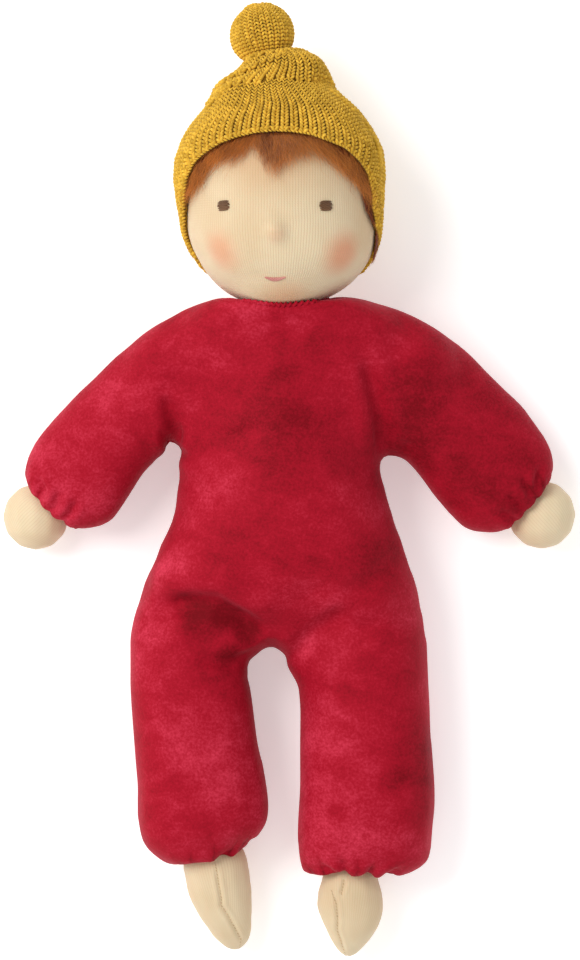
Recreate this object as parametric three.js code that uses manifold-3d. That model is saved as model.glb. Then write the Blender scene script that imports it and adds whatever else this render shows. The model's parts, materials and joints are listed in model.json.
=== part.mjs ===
// A soft cloth doll that lies on its back: a wool-filled velour suit with jersey hands, feet and head,
// a short mohair wig and a knitted cap with a stuffed bobble.
//
// Millimetres. +X is the doll's left, +Y runs from its feet to its head, +Z points up out of its face.
// The origin is on the surface that the doll lies on, under the middle of its back.

import * as THREE from 'three';
import { mergeVertices } from 'three/addons/utils/BufferGeometryUtils.js';
import Module from 'manifold-3d';

const wasm = await Module();
wasm.setup();

// Cloth, thread and clearances

const velour = 1.2; // wall of the suit
const jersey = 0.9; // wall of the head, hands and feet
const gauze = 0.6; // wall of the tube round the wool of the head
const knit = 2.8; // wall of the cap
const bobbleKnit = 2.2; // wall of the bobble
const gap = 0.3; // what touches in the real doll lies this far apart
const chinGap = 4.5; // between the head and the body, for the head to nod into
const settle = 0.5; // how far the soft forms are pressed flat by what they lie on
const thread = 0.6; // radius of a tying thread
const overrun = 20; // how far a cutting shape runs past what it cuts
const bigSides = 16; // facets round the body, the head, the cap and the balls of the neck and shoulders
const limbSides = 12; // facets round a limb, a hand, a foot and the bobble
const reach = 600; // size of a block that holds everything on one side of a plane
const sliver = 0.15; // how thin a left-over facet may be
const weld = 1e-4; // points this close are one point
const padSides = 10; // facets round the embroidery and the nose
const threadSides = 4; // facets round a thread

// Torso of the suit

const crotchDown = 66; // crotch, below the origin
const neckUp = 69; // top of the suit, above the origin
const hipHalfWidth = 56;
const bellyHalfDepth = 29;
const torsoSquareness = 2.35;
// [up the torso, half width, half depth, height of the middle, its sway to the left], as shares
const torsoShares = [
  [0, 0.3, 0.35, 0.74, 0],
  [0.03, 0.76, 0.62, 0.76, 0],
  [0.08, 0.99, 0.82, 0.83, 0],
  [0.14, 0.965, 0.9, 0.9, 0],
  [0.21, 0.905, 0.96, 0.96, 0],
  [0.3, 0.82, 1, 1, 0.01],
  [0.4, 0.745, 1, 1, 0.015],
  [0.5, 0.69, 0.98, 0.98, 0.015],
  [0.59, 0.69, 0.94, 0.955, 0.01],
  [0.69, 0.78, 0.87, 0.97, 0],
  [0.79, 0.88, 0.81, 1.03, 0.03],
  [0.88, 0.94, 0.76, 1.16, 0.08],
  [0.94, 0.84, 0.74, 1.28, 0.09],
  [0.98, 0.6, 0.72, 1.37, 0.06],
  [1, 0.37, 0.7, 1.42, 0.01],
];
const sideSeamHigh = 27; // the side seam beside the origin, above the surface
const sideSeamRise = 9; // degrees that the side seams climb towards the neck

// Legs of the suit

const hipDown = 57; // hip crease, below the origin
const creaseDepth = 5; // depth of the fold across the front of the hip
const creaseLean = 46; // degrees that each side of that fold leans back
const legsMeet = -4; // where the two legs meet, across from the origin
const legSquareness = 2.3;
const legHalfDepth = 22.5;
const legRootUp = 22; // how far a leg's form runs up into the torso, above the hip crease
const legs = {
  left: { side: 1, hipOut: 31, shinOut: 32.6, ankleOut: 26.2, endDown: 151, halfWidth: 25.4 },
  right: { side: -1, hipOut: 34.6, shinOut: 30.2, ankleOut: 24.4, endDown: 145, halfWidth: 24 },
};
// [down the leg, half width, half depth, height of the middle, turn-in to the ankle], as shares
const legShares = [
  [0, 0.7, 0.7, 0.95, 0],
  [0.16, 0.9, 0.97, 0.98, 0],
  [0.3, 0.95, 1, 1, 0],
  [0.5, 0.985, 1, 1, 0],
  [0.68, 1.01, 1, 1, 0],
  [0.81, 1, 0.97, 0.97, 0],
  [0.9, 0.96, 0.9, 0.91, 0],
  [0.955, 0.89, 0.8, 0.84, 0.08],
  [1, 0.66, 0.66, 0.78, 0.85],
];

// Sleeves and hands. The hands are balls on the surface.

const shoulderUp = 36;
const shoulderHigh = 27; // above the surface
const shoulderRound = 28; // what swings at the shoulder lies inside this radius
const wadRadius = 13; // of the loose wool that the arm bends on
const wadOpening = 7; // radius of the way out of its pocket, towards the torso
const handOut = 6.5; // middle of the hand, past the end of the sleeve
const armSquareness = 2.3;
const arms = {
  left: {
    side: 1, shoulderOut: 44, handX: 100.2, handY: -13.1, handRadius: 13,
    halfWidth: 23, halfDepth: 16.8, bow: 3,
  },
  right: {
    side: -1, shoulderOut: 43, handX: -93.5, handY: -13.9, handRadius: 12.6,
    halfWidth: 19.9, halfDepth: 16.8, bow: 2.2,
  },
};
// [along the arm from the shoulder, half width, half depth, bow of the middle line], as shares
const armShares = [
  [-0.2, 0.6, 0.7, 0.2],
  [-0.09, 0.9, 1, 0.5],
  [0.06, 1, 1.15, 0.8],
  [0.25, 1.01, 1.1, 1],
  [0.45, 1, 1.04, 0.85],
  [0.62, 1.02, 1.02, 0.5],
  [0.77, 0.99, 1, 0.25],
  [0.88, 0.93, 0.97, 0.1],
  [0.955, 0.78, 0.89, 0],
  [1, 0.61, 0.82, 0],
];

// Feet

const footRadius = 12; // at the ankle
const footBack = 1.5; // middle of the ankle, past the end of the leg
// [from ankle to toe, half width, half depth], as shares of the foot's length and the ankle's radius
const footShares = [
  [0, 1, 1],
  [0.15, 0.99, 0.97],
  [0.36, 0.95, 0.9],
  [0.58, 0.8, 0.77],
  [0.78, 0.6, 0.58],
  [0.93, 0.38, 0.37],
  [1, 0.17, 0.17],
];
const domeShares = [0.25, 0.6, 0.85, 0.97]; // of the ankle's radius, back from the ankle
const feet = {
  left: { length: 29.4, turnIn: 1, droop: 12 }, // ankle to toe, and the toe's turns in degrees
  right: { length: 33, turnIn: 11, droop: 12 },
};

// Head, and the neck that it turns on. Heights are above the neck's pivot.

const capFull = 41.3; // outer radius of the cap where it is widest
const headHigh = capFull - settle; // the head's axis, above the surface
const neckPivotUp = 61; // above the origin
const headRadius = 35.5;
const headLift = 4.4; // underside of the head
const chinHeight = 31.2; // underside of the head to where it is widest
const cheekHeight = 17.5; // the straight part of the side
const crownHeight = 28.5;
const headSquareness = 2.1;
const crownShares = [1, 0.8, 0.6, 0.4, 0.2]; // of a quarter turn above where the head is widest
const chinShares = [0, 0.2, 0.4, 0.6, 0.8, 1]; // of a quarter turn below
const neckRadius = 9.6; // of the tied neck
const neckDown = 20; // end of the tied neck
const yokeRadius = 24; // the neckline moves with the neck inside this radius

// Face

const faceTurn = -3.6; // degrees the face is turned at rest, to the doll's right
const eyeOut = 19.6;
const eyeUp = 43.5;
const eyeHalfWidth = 2.3;
const eyeHalfHeight = 1.9;
const mouthUp = 15.8;
const mouthHalfWidth = 3.8;
const mouthHalfHeight = 1;
const stitchHeight = 1.1; // embroidery, above the skin
const noseUp = 31.5;
const noseRadius = 3;
const noseHeight = 1.7; // from its middle
const noseSunk = 1.6; // its middle, under the skin

// Wig, cap and bobble

const wigThick = 1.4;
const hairline = 5; // the wig's edge, in front of the cap's edge
const wigNape = 13; // back edge of the wig
const capHeight = 102;
const capNape = 19; // back edge of the cap
const capBrow = 71.8; // front edge of the cap
const capBrowOut = 32; // that edge, in front of the head's axis
const capSlant = 66; // degrees that the plane of the face opening leans
// [up the cap, radius], as shares of the cap's height and its fullest radius
const capShares = [
  [0.993, 0.2],
  [0.97, 0.35],
  [0.93, 0.45],
  [0.88, 0.56],
  [0.82, 0.663],
  [0.76, 0.79],
  [0.7, 0.9],
  [0.64, 0.972],
  [0.56, 1],
  [0.45, 0.988],
  [0.38, 0.965],
  [0.3, 0.945],
  [0.16, 0.93],
];
const capGathered = 0.88; // share of the cap's height above which its crown is drawn together
const bobbleRadius = 12.6;
const bobbleOut = -7;
const bobbleRise = 6.8; // its middle, above the cap's height
const bobbleBack = 3.3; // its middle, behind the head's axis
const tieRadius = 4; // of the tied opening of the bobble, of a hand and of a foot

// Materials

const cloth = (color, roughness) => new THREE.MeshStandardMaterial({ color, roughness, metalness: 0 });
const materials = {
  velour: cloth(0xb01e33, 0.85),
  jersey: cloth(0xe6cba3, 0.9),
  gauze: cloth(0xf0ebe0, 0.95),
  wool: cloth(0xe9e1d0, 1),
  mohair: cloth(0x9a5429, 0.95),
  knit: cloth(0xcf9a2c, 0.95),
  thread: cloth(0xd9d2c2, 0.8),
  eyeThread: cloth(0x46301f, 0.8),
  mouthThread: cloth(0xd07f74, 0.8),
};

// Solids

// A closed mesh as a solid that can be cut and joined.
function solid(geometry) {
  geometry.deleteAttribute('normal');
  geometry.deleteAttribute('uv');
  const merged = mergeVertices(geometry, weld);
  return new wasm.Manifold(new wasm.Mesh({
    numProp: 3,
    vertProperties: merged.attributes.position.array,
    triVerts: new Uint32Array(merged.index.array),
  }));
}

const joined = (solids) => solids.reduce((whole, piece) => whole.add(piece));

const doll = new THREE.Group();

// Adds a solid to the doll as a named piece, without the slivers and crumbs that its cuts left.
function add(name, made, material) {
  const pieces = made.simplify(sliver).decompose();
  const largest = pieces.reduce((best, piece) => (piece.volume() > best.volume() ? piece : best));
  const { numProp, vertProperties, triVerts, numVert } = largest.getMesh();
  const positions = new Float32Array(numVert * 3);
  for (let i = 0; i < numVert; i++) {
    positions.set(vertProperties.subarray(i * numProp, i * numProp + 3), i * 3);
  }
  const geometry = new THREE.BufferGeometry();
  geometry.setAttribute('position', new THREE.BufferAttribute(positions, 3));
  geometry.setIndex(new THREE.BufferAttribute(triVerts, 1));
  geometry.computeVertexNormals();
  const mesh = new THREE.Mesh(geometry, material);
  mesh.name = name;
  doll.add(mesh);
}

// A closed skin over rings that stand square to +Y. Each ring is { at, x, z, halfWidth, halfDepth }.
function ringStack(rings, sides, squareness, placed = new THREE.Matrix4()) {
  const positions = [];
  const index = [];
  const bent = (value) => Math.sign(value) * Math.abs(value) ** (2 / squareness);
  for (const { at, x, z, halfWidth, halfDepth } of rings) {
    for (let j = 0; j < sides; j++) {
      const turn = (2 * Math.PI * j) / sides;
      positions.push(x + halfWidth * bent(Math.cos(turn)), at, z + halfDepth * bent(Math.sin(turn)));
    }
  }
  const first = rings[0];
  const last = rings[rings.length - 1];
  const ends = rings.length * sides;
  positions.push(first.x, first.at, first.z, last.x, last.at, last.z);
  for (let j = 0; j < sides; j++) {
    const next = (j + 1) % sides;
    for (let i = 0; i + 1 < rings.length; i++) {
      const ring = i * sides;
      index.push(ring + j, ring + sides + j, ring + next, ring + next, ring + sides + j, ring + sides + next);
    }
    index.push(ends, j, next, ends + 1, ends - sides + next, ends - sides + j);
  }
  const geometry = new THREE.BufferGeometry();
  geometry.setAttribute('position', new THREE.Float32BufferAttribute(positions, 3));
  geometry.setIndex(index);
  geometry.applyMatrix4(placed);
  return solid(geometry);
}

// A solid turned about the head's axis, from [radius, height] points that run from its top to its underside.
function turned(points) {
  const profile = points.map(([radius, up]) => new THREE.Vector2(radius, up)).reverse();
  const geometry = new THREE.LatheGeometry(profile, bigSides);
  geometry.translate(0, neckPivotUp, headHigh);
  return solid(geometry);
}

function ball(radius, centre, sides = limbSides) {
  const geometry = new THREE.SphereGeometry(radius, sides, sides / 2);
  geometry.translate(...centre);
  return solid(geometry);
}

// The room round a ball. The middles of its facets clear the ball's corners, however the ball turns.
// Its poles are turned away from the ball's, so that facets face corners and the two lie close together.
function socket(radius, centre, sides = limbSides) {
  const inward = Math.cos(Math.PI / sides) ** 2;
  const geometry = new THREE.SphereGeometry((radius + gap) / inward, sides, sides / 2, Math.PI / sides);
  geometry.rotateX(Math.PI / 2);
  geometry.translate(...centre);
  return solid(geometry);
}

// Everything on the side of a plane that `normal` points to.
function halfSpace(point, normal) {
  const geometry = new THREE.BoxGeometry(reach, reach, reach);
  geometry.translate(0, reach / 2, 0);
  const up = new THREE.Vector3(0, 1, 0);
  const turn = new THREE.Quaternion().setFromUnitVectors(up, new THREE.Vector3(...normal).normalize());
  geometry.applyQuaternion(turn);
  geometry.translate(...point);
  return solid(geometry);
}

// A frame that carries +Y onto a direction, with +Z as near straight up as it can be.
function frameAlong(direction, origin) {
  const along = direction.clone().normalize();
  const across = new THREE.Vector3().crossVectors(along, new THREE.Vector3(0, 0, 1)).normalize();
  const up = new THREE.Vector3().crossVectors(across, along);
  return new THREE.Matrix4().makeBasis(across, along, up).setPosition(origin);
}

// A ring of thread about the +Y of a frame.
function threadRing(radius, placed) {
  const geometry = new THREE.TorusGeometry(radius, thread, threadSides, limbSides);
  geometry.rotateX(Math.PI / 2);
  geometry.applyMatrix4(placed);
  return solid(geometry);
}

// A round hole along the +Y of a frame.
function hole(radius, depth, placed) {
  const geometry = new THREE.CylinderGeometry(radius, radius, depth, limbSides);
  geometry.translate(0, depth / 2, 0);
  geometry.applyMatrix4(placed);
  return solid(geometry);
}

// A cloth bag, its filling and its tie, with the tied opening on the +Y of a frame. `form` makes the bag's
// solid, so far inside its outer face; `depth` is how far the opening lies from the frame's origin.
function addBag([bagName, fillingName, tieName], form, wall, depth, placed, material) {
  const outer = form(0).intersect(aboveTable);
  const lining = form(wall).intersect(halfSpace([0, 0, wall], [0, 0, 1]));
  const filling = form(wall + gap).intersect(halfSpace([0, 0, wall + gap], [0, 0, 1]));
  const opening = hole(tieRadius + thread + gap, depth + overrun, placed);
  const tieOut = Math.sqrt((depth - wall + thread) ** 2 - tieRadius ** 2);
  const tieAt = placed.clone().multiply(new THREE.Matrix4().makeTranslation(0, tieOut, 0));
  add(bagName, outer.subtract(lining).subtract(opening), material);
  add(fillingName, filling, materials.wool);
  add(tieName, threadRing(tieRadius, tieAt), materials.thread);
}

const rad = THREE.MathUtils.degToRad;
const aboveTable = halfSpace([0, 0, 0], [0, 0, 1]);

// Forms of the suit. `inset` is how far inside the velour's outer face a form lies.

function torsoForm(inset) {
  const length = crotchDown + neckUp;
  const rings = torsoShares.map(([up, wide, deep, high, sway], i) => ({
    at: up * length - crotchDown + (i === 0 ? inset : 0) - (i === torsoShares.length - 1 ? inset : 0),
    x: sway * hipHalfWidth,
    z: high * bellyHalfDepth - settle,
    halfWidth: wide * hipHalfWidth - inset,
    halfDepth: deep * bellyHalfDepth - inset,
  }));
  return ringStack(rings, bigSides, torsoSquareness);
}

const legEndHigh = legShares[legShares.length - 1][3] * legHalfDepth - settle;
const ankleOf = (leg) => new THREE.Vector3(leg.side * leg.ankleOut, -leg.endDown - footBack, legEndHigh);

function legForm(leg, inset) {
  const top = legRootUp - hipDown;
  const length = top + leg.endDown;
  const rings = legShares.map(([down, wide, deep, high, turnIn], i) => ({
    at: top - down * length + (i === legShares.length - 1 ? inset : 0),
    x: leg.side * (leg.hipOut + down * (leg.shinOut - leg.hipOut) - turnIn * (leg.shinOut - leg.ankleOut)),
    z: high * legHalfDepth - settle,
    halfWidth: wide * leg.halfWidth - inset,
    halfDepth: deep * legHalfDepth - inset,
  }));
  return ringStack(rings.reverse(), limbSides, legSquareness);
}

const shoulderOf = (arm) => new THREE.Vector3(arm.side * arm.shoulderOut, shoulderUp, shoulderHigh);
const handOf = (arm) => new THREE.Vector3(arm.handX, arm.handY, arm.handRadius - settle);
const armFrame = (arm) => frameAlong(handOf(arm).sub(shoulderOf(arm)), shoulderOf(arm));

function armForm(arm, inset) {
  const length = handOf(arm).distanceTo(shoulderOf(arm)) - handOut;
  const rings = armShares.map(([along, wide, deep, bow], i) => ({
    at: along * length - (i === armShares.length - 1 ? inset : 0),
    x: -arm.side * bow * arm.bow,
    z: 0,
    halfWidth: wide * arm.halfWidth - inset,
    halfDepth: deep * arm.halfDepth - inset,
  }));
  return ringStack(rings, limbSides, armSquareness, armFrame(arm));
}

// The suit above and below the hip crease, with a fold between them that closes as a leg comes up.
const hipFront = 2 * legHalfDepth - settle;
const hipPivotHigh = hipFront - creaseDepth;

function besideCrease(way) {
  const edge = (way * gap) / 2 - hipDown;
  const flat = halfSpace([0, edge, 0], [0, way, 0]);
  const lean = rad(creaseLean);
  return flat.intersect(halfSpace([0, edge, hipPivotHigh], [0, way * Math.cos(lean), -Math.sin(lean)]));
}

const aboveCrease = besideCrease(1);
const belowCrease = besideCrease(-1);

// The suit's three skins, one inside the other: its outer face, its inner face and the face of its filling.
// Each is kept as the torso alone, the torso with the legs, and the torso with either arm.
const skins = [0, velour, velour + gap].map((inset) => {
  const floor = halfSpace([0, 0, inset], [0, 0, 1]);
  const torso = torsoForm(inset);
  const withLegs = joined([torso, legForm(legs.left, inset), legForm(legs.right, inset)]);
  const withLeft = torso.add(armForm(arms.left, inset));
  const withRight = torso.add(armForm(arms.right, inset));
  return [torso, withLegs, withLeft, withRight].map((form) => form.intersect(floor));
});

// The velour shell and the filling of each of those forms.
const [torsoOnly, withLegs, withLeft, withRight] = skins[0]
  .map((outer, i) => [outer.subtract(skins[1][i]), skins[2][i]]);

// Adds a shell as the two panels on either side of a seam plane.
function addPanels(names, shell, seamPoint, seamNormal) {
  for (const [k, way] of [1, -1].entries()) {
    const normal = seamNormal.clone().multiplyScalar(way);
    const point = seamPoint.clone().addScaledVector(normal, gap / 2);
    add(names[k], shell.intersect(halfSpace(point.toArray(), normal.toArray())), materials.velour);
  }
}

// Head forms

// [radius, height] of the head's outline at a share of a quarter turn, `out` outside the skin.
function headPoint(share, base, height, out) {
  const angle = (share * Math.PI) / 2;
  const along = share < 1 ? Math.cos(angle) ** (2 / headSquareness) : 0;
  const rise = Math.sin(angle) ** (2 / headSquareness);
  return [(headRadius + out) * along, base + rise * (height + Math.sign(height) * out)];
}

const widestLow = headLift + chinHeight;
const widestHigh = widestLow + cheekHeight;
const crownPoints = (out) => crownShares.map((share) => headPoint(share, widestHigh, crownHeight, out))
  .concat([[headRadius + out, widestHigh]]);
const chinPoints = (out) => chinShares.map((share) => headPoint(share, widestLow, -chinHeight, out));

// The head with its tied neck, `out` outside its skin. The top and the underside end on the axis.
function headForm(out, neckEnd = neckDown) {
  const neck = neckRadius + out;
  const chin = chinPoints(out).filter(([radius]) => radius > neck);
  return turned([...crownPoints(out), ...chin, [neck, headLift / 2], [neck, -neckEnd], [0, -neckEnd]]);
}

const pivot = new THREE.Vector3(0, neckPivotUp, headHigh);
const faceFrame = new THREE.Matrix4().makeRotationY(rad(faceTurn)).setPosition(pivot);
const neckFrame = new THREE.Matrix4().setPosition(pivot);

// A pad on the face with half sizes across, up and out, along the skin at a place on its front.
function facePad(out, up, halfSizes, sunk = 0) {
  const low = Math.max((widestLow - up) / chinHeight, 0);
  const radius = headRadius * (1 - low ** headSquareness) ** (1 / headSquareness);
  const front = Math.sqrt(radius ** 2 - out ** 2);
  const lean = Math.atan2(low ** (headSquareness - 1) / chinHeight,
    (radius / headRadius) ** (headSquareness - 1) / headRadius);
  const geometry = new THREE.SphereGeometry(1, padSides, padSides / 2);
  geometry.scale(...halfSizes);
  geometry.translate(0, 0, -sunk);
  geometry.rotateX(lean);
  geometry.rotateY(Math.atan2(out, front));
  geometry.translate(out, up, front);
  geometry.applyMatrix4(faceFrame);
  return solid(geometry);
}

// Torso

const neckBore = neckRadius + 2 * (gap + thread);
const roomForHead = (clearance) => turned([
  ...crownPoints(clearance),
  ...chinPoints(clearance).filter(([radius]) => radius > neckBore),
  [neckBore, headLift - clearance],
  [neckBore, -neckDown - overrun],
  [0, -neckDown - overrun],
]);
const necklineRoom = roomForHead(gap);
const yokeBall = ball(yokeRadius, pivot.toArray(), bigSides);
const yokeSocket = socket(yokeRadius, pivot.toArray(), bigSides);
const shoulders = Object.values(arms).map((arm) => shoulderOf(arm).toArray());
const shoulderBalls = shoulders.map((centre) => ball(shoulderRound, centre, bigSides));
const shoulderSockets = shoulders.map((centre) => socket(shoulderRound, centre, bigSides));
const sockets = joined([yokeSocket, ...shoulderSockets]).add(roomForHead(chinGap));

const seamLean = rad(sideSeamRise);
const [torsoShell, torsoFilling] = withLegs.map((layer) => layer.intersect(aboveCrease).subtract(sockets));
addPanels(['torso_front_panel', 'torso_back_panel'], torsoShell,
  new THREE.Vector3(0, 0, sideSeamHigh), new THREE.Vector3(0, -Math.sin(seamLean), Math.cos(seamLean)));
add('torso_stuffing', torsoFilling, materials.wool);

// Neckline: the gathered top of the suit, which nods with the neck

const [yokeShell, yokeFilling] = torsoOnly.map((layer) => layer.intersect(yokeBall).subtract(necklineRoom));
add('neckline', yokeShell, materials.velour);
add('neck_wad', yokeFilling, materials.wool);

// Sleeves, hands and the loose wool that the arms bend on

const torsoKeep = torsoForm(-gap);
for (const [k, name] of Object.keys(arms).entries()) {
  const arm = arms[name];
  const shoulder = shoulders[k];
  const frame = armFrame(arm);
  const hand = handOf(arm);
  const handSocket = socket(arm.handRadius, hand.toArray());
  const keep = torsoKeep.subtract(shoulderBalls[k]).add(yokeSocket).add(handSocket);
  const [shell, filling] = [withLeft, withRight][k].map((layer) => layer.subtract(keep));
  const up = new THREE.Vector3().setFromMatrixColumn(frame, 2);
  addPanels([`${name}_sleeve_front`, `${name}_sleeve_back`], shell, shoulderOf(arm), up);
  const pocket = socket(wadRadius, shoulder)
    .add(hole(wadOpening, shoulderRound + overrun, frameAlong(shoulderOf(arm).sub(hand), shoulderOf(arm))));
  add(`${name}_arm_stuffing`, filling.subtract(pocket), materials.wool);
  add(`${name}_shoulder_wad`, ball(wadRadius, shoulder), materials.wool);
  const back = shoulderOf(arm).sub(hand);
  addBag([`${name}_hand_skin`, `${name}_hand_stuffing`, `${name}_wrist_tie`],
    (inset) => ball(arm.handRadius - inset, hand.toArray()),
    jersey, arm.handRadius, frameAlong(back, hand), materials.jersey);
}

// Trouser legs and feet

for (const [name, leg] of Object.entries(legs)) {
  const foot = feet[name];
  const ankle = ankleOf(leg);
  const ankleSocket = socket(footRadius, ankle.toArray());
  const ownSide = halfSpace([legsMeet + (leg.side * gap) / 2, 0, 0], [leg.side, 0, 0]);
  const ownRoom = belowCrease.intersect(ownSide).subtract(ankleSocket);
  const [shell, filling] = withLegs.map((layer) => layer.intersect(ownRoom));
  addPanels([`${name}_trouser_front`, `${name}_trouser_back`], shell,
    new THREE.Vector3(0, 0, legHalfDepth - settle), new THREE.Vector3(0, 0, 1));
  add(`${name}_leg_stuffing`, filling, materials.wool);

  const turnIn = rad(leg.side * foot.turnIn);
  const droop = rad(foot.droop);
  const back = new THREE.Vector3(Math.sin(turnIn), Math.cos(turnIn), Math.tan(droop));
  const frame = frameAlong(back, ankle);
  const form = (inset) => ringStack([
    ...footShares.map(([along, wide, deep]) => ({
      at: -along * (foot.length - inset), x: 0, z: 0,
      halfWidth: wide * footRadius - inset * (1 - along), halfDepth: deep * footRadius - inset * (1 - along),
    })).reverse(),
    ...domeShares.map((share) => {
      const radius = (footRadius - inset) * Math.sqrt(1 - share ** 2);
      return { at: share * (footRadius - inset), x: 0, z: 0, halfWidth: radius, halfDepth: radius };
    }),
  ], limbSides, 2, frame);
  addBag([`${name}_foot_skin`, `${name}_foot_stuffing`, `${name}_ankle_tie`], form, jersey, footRadius, frame,
    materials.jersey);
}

// Head and face

const nose = (out) => facePad(0, noseUp, [noseRadius + out, noseRadius + out, noseHeight + out], noseSunk);
const skinBack = headForm(-jersey, neckDown + overrun);
const tubeFront = headForm(-jersey - gap);
const tubeBack = headForm(-jersey - gap - gauze, neckDown + overrun);

add('head_core', headForm(-jersey - 2 * gap - gauze), materials.wool);
add('head_tube', tubeFront.subtract(tubeBack), materials.gauze);
add('nose_nub', nose(0).subtract(skinBack), materials.wool);
add('head_skin', headForm(0).add(nose(gap + jersey)).subtract(skinBack).subtract(nose(gap)),
  materials.jersey);
add('neck_tie', threadRing(neckRadius + gap + thread, neckFrame), materials.thread);

const skinClear = headForm(gap);
for (const [name, side] of [['left', 1], ['right', -1]]) {
  const pad = facePad(side * eyeOut, eyeUp, [eyeHalfWidth, eyeHalfHeight, stitchHeight + gap]);
  add(`${name}_eye`, pad.subtract(skinClear), materials.eyeThread);
}
add('mouth', facePad(0, mouthUp, [mouthHalfWidth, mouthHalfHeight, stitchHeight + gap]).subtract(skinClear),
  materials.mouthThread);

// Wig and cap

// Everything behind the face opening and above the nape, with the opening's edge moved forward.
function behindFace(forward, nape) {
  const lean = rad(capSlant);
  const normal = new THREE.Vector3(0, Math.cos(lean), -Math.sin(lean));
  const edge = pivot.clone().add(new THREE.Vector3(0, capBrow, capBrowOut)).addScaledVector(normal, -forward);
  return halfSpace(edge.toArray(), normal.toArray())
    .intersect(halfSpace([0, neckPivotUp + nape, 0], [0, 1, 0]));
}

const scalp = headForm(wigThick + gap);
add('wig', scalp.subtract(skinClear).intersect(behindFace(hairline, wigNape)), materials.mohair);

const capBore = headRadius + wigThick + 2 * gap;
const capOutside = capShares.map(([up, radius]) => [radius * capFull, up * capHeight]);
const capInside = capOutside.filter(([, up]) => up <= capGathered * capHeight)
  .map(([radius, up]) => [up > widestHigh ? radius - knit : Math.max(radius - knit, capBore), up - knit]);
const bobble = new THREE.Vector3(bobbleOut, neckPivotUp + capHeight + bobbleRise, headHigh - bobbleBack);
const bobbleSocket = socket(bobbleRadius, bobble.toArray());
const capWhole = turned([[0, capOutside[0][1]], ...capOutside, [0, capOutside[capOutside.length - 1][1]]]);
const capHollow = turned([[0, capInside[0][1]], ...capInside, [capBore, -overrun], [0, -overrun]]);
add('cap', capWhole.subtract(capHollow).subtract(bobbleSocket).intersect(behindFace(0, capNape))
  .intersect(aboveTable), materials.knit);

const crownTop = new THREE.Vector3(0, neckPivotUp + capOutside[1][1], headHigh);
addBag(['bobble_cover', 'bobble_stuffing', 'bobble_tie'],
  (inset) => ball(bobbleRadius - inset, bobble.toArray()),
  bobbleKnit, bobbleRadius, frameAlong(crownTop.sub(bobble), bobble), materials.knit);

export default doll;
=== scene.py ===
# %% [markdown]
# A soft cloth doll lies on its back: a velour suit stuffed with wool, a jersey head, hands and feet, a mohair wig
# and a knitted cap. All of it could be modelled here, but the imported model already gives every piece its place
# and its joints. So this script only gives the pieces the shape, cloth and stitches that the eye expects.

import json
import math

import bmesh
import bpy
import numpy as np
from mathutils import Matrix, Vector
from mathutils.bvhtree import BVHTree

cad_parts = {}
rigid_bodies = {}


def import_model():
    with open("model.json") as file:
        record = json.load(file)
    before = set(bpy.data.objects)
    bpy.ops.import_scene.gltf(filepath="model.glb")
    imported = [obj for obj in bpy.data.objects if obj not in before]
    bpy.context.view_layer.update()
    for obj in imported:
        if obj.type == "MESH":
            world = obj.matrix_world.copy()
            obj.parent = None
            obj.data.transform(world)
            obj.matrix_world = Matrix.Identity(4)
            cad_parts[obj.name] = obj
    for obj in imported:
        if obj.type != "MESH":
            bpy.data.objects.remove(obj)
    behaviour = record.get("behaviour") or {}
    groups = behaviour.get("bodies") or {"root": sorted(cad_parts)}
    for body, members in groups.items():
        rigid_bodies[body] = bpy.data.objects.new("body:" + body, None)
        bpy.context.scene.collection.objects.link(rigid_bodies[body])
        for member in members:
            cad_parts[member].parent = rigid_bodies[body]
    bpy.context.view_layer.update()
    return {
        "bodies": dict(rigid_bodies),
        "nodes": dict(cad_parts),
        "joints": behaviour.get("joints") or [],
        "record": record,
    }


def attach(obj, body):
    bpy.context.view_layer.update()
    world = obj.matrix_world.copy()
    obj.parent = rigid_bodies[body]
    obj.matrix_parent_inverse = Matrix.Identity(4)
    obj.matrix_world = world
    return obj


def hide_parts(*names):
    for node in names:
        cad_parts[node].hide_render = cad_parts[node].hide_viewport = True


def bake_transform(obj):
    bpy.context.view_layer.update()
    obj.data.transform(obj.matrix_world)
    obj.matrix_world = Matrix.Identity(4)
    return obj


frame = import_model()
MM = 0.001

# %% [markdown]
# The photograph looks straight down at the doll. An orthographic camera could stand for that, but a real
# camera hangs at some height, and the face then looks a little larger than the feet. So this one has a long
# lens and hangs two metres up. Its place follows from the photograph's scale, 0.38 mm a pixel.

# %% Camera
PIXEL = 0.38 * MM
PICTURE_HIGH = 960
MIDDLE_COLUMN, MIDDLE_ROW = 290, 480
SCALE_HEIGHT = 27  # over the table (mm), where a pixel is PIXEL wide
SENSOR = 24
view_centre = Vector((3.8 * MM, 0.2 * MM, 0))
camera_height = 2.0
camera_data = bpy.data.cameras.new("camera")
camera_data.sensor_fit = "VERTICAL"
camera_data.sensor_height = SENSOR
camera_data.lens = SENSOR * (camera_height - SCALE_HEIGHT * MM) / (PICTURE_HIGH * PIXEL)
camera = bpy.data.objects.new("camera", camera_data)
camera.location = view_centre + Vector((0, 0, camera_height))
bpy.context.scene.collection.objects.link(camera)
bpy.context.scene.camera = camera
print("lens", round(camera_data.lens, 1))


def from_picture(across, down, height=SCALE_HEIGHT):
    """The place (mm) that the camera sees at a pixel of its picture, at a height over the table."""
    share = (camera_height / MM - height) / (camera_height / MM - SCALE_HEIGHT) * PIXEL / MM
    return (view_centre.x / MM + (across - MIDDLE_COLUMN) * share,
            view_centre.y / MM + (MIDDLE_ROW - down) * share)


# %% [markdown]
# A product photograph has one large soft light and a bright surround. A picture of a studio could light the
# scene, but area lights need no file and are easy to move: a key from the upper left, a weaker one from the
# right, and one from the foot end that opens up the shadows. The floor glows a little, as lit paper does.

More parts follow.
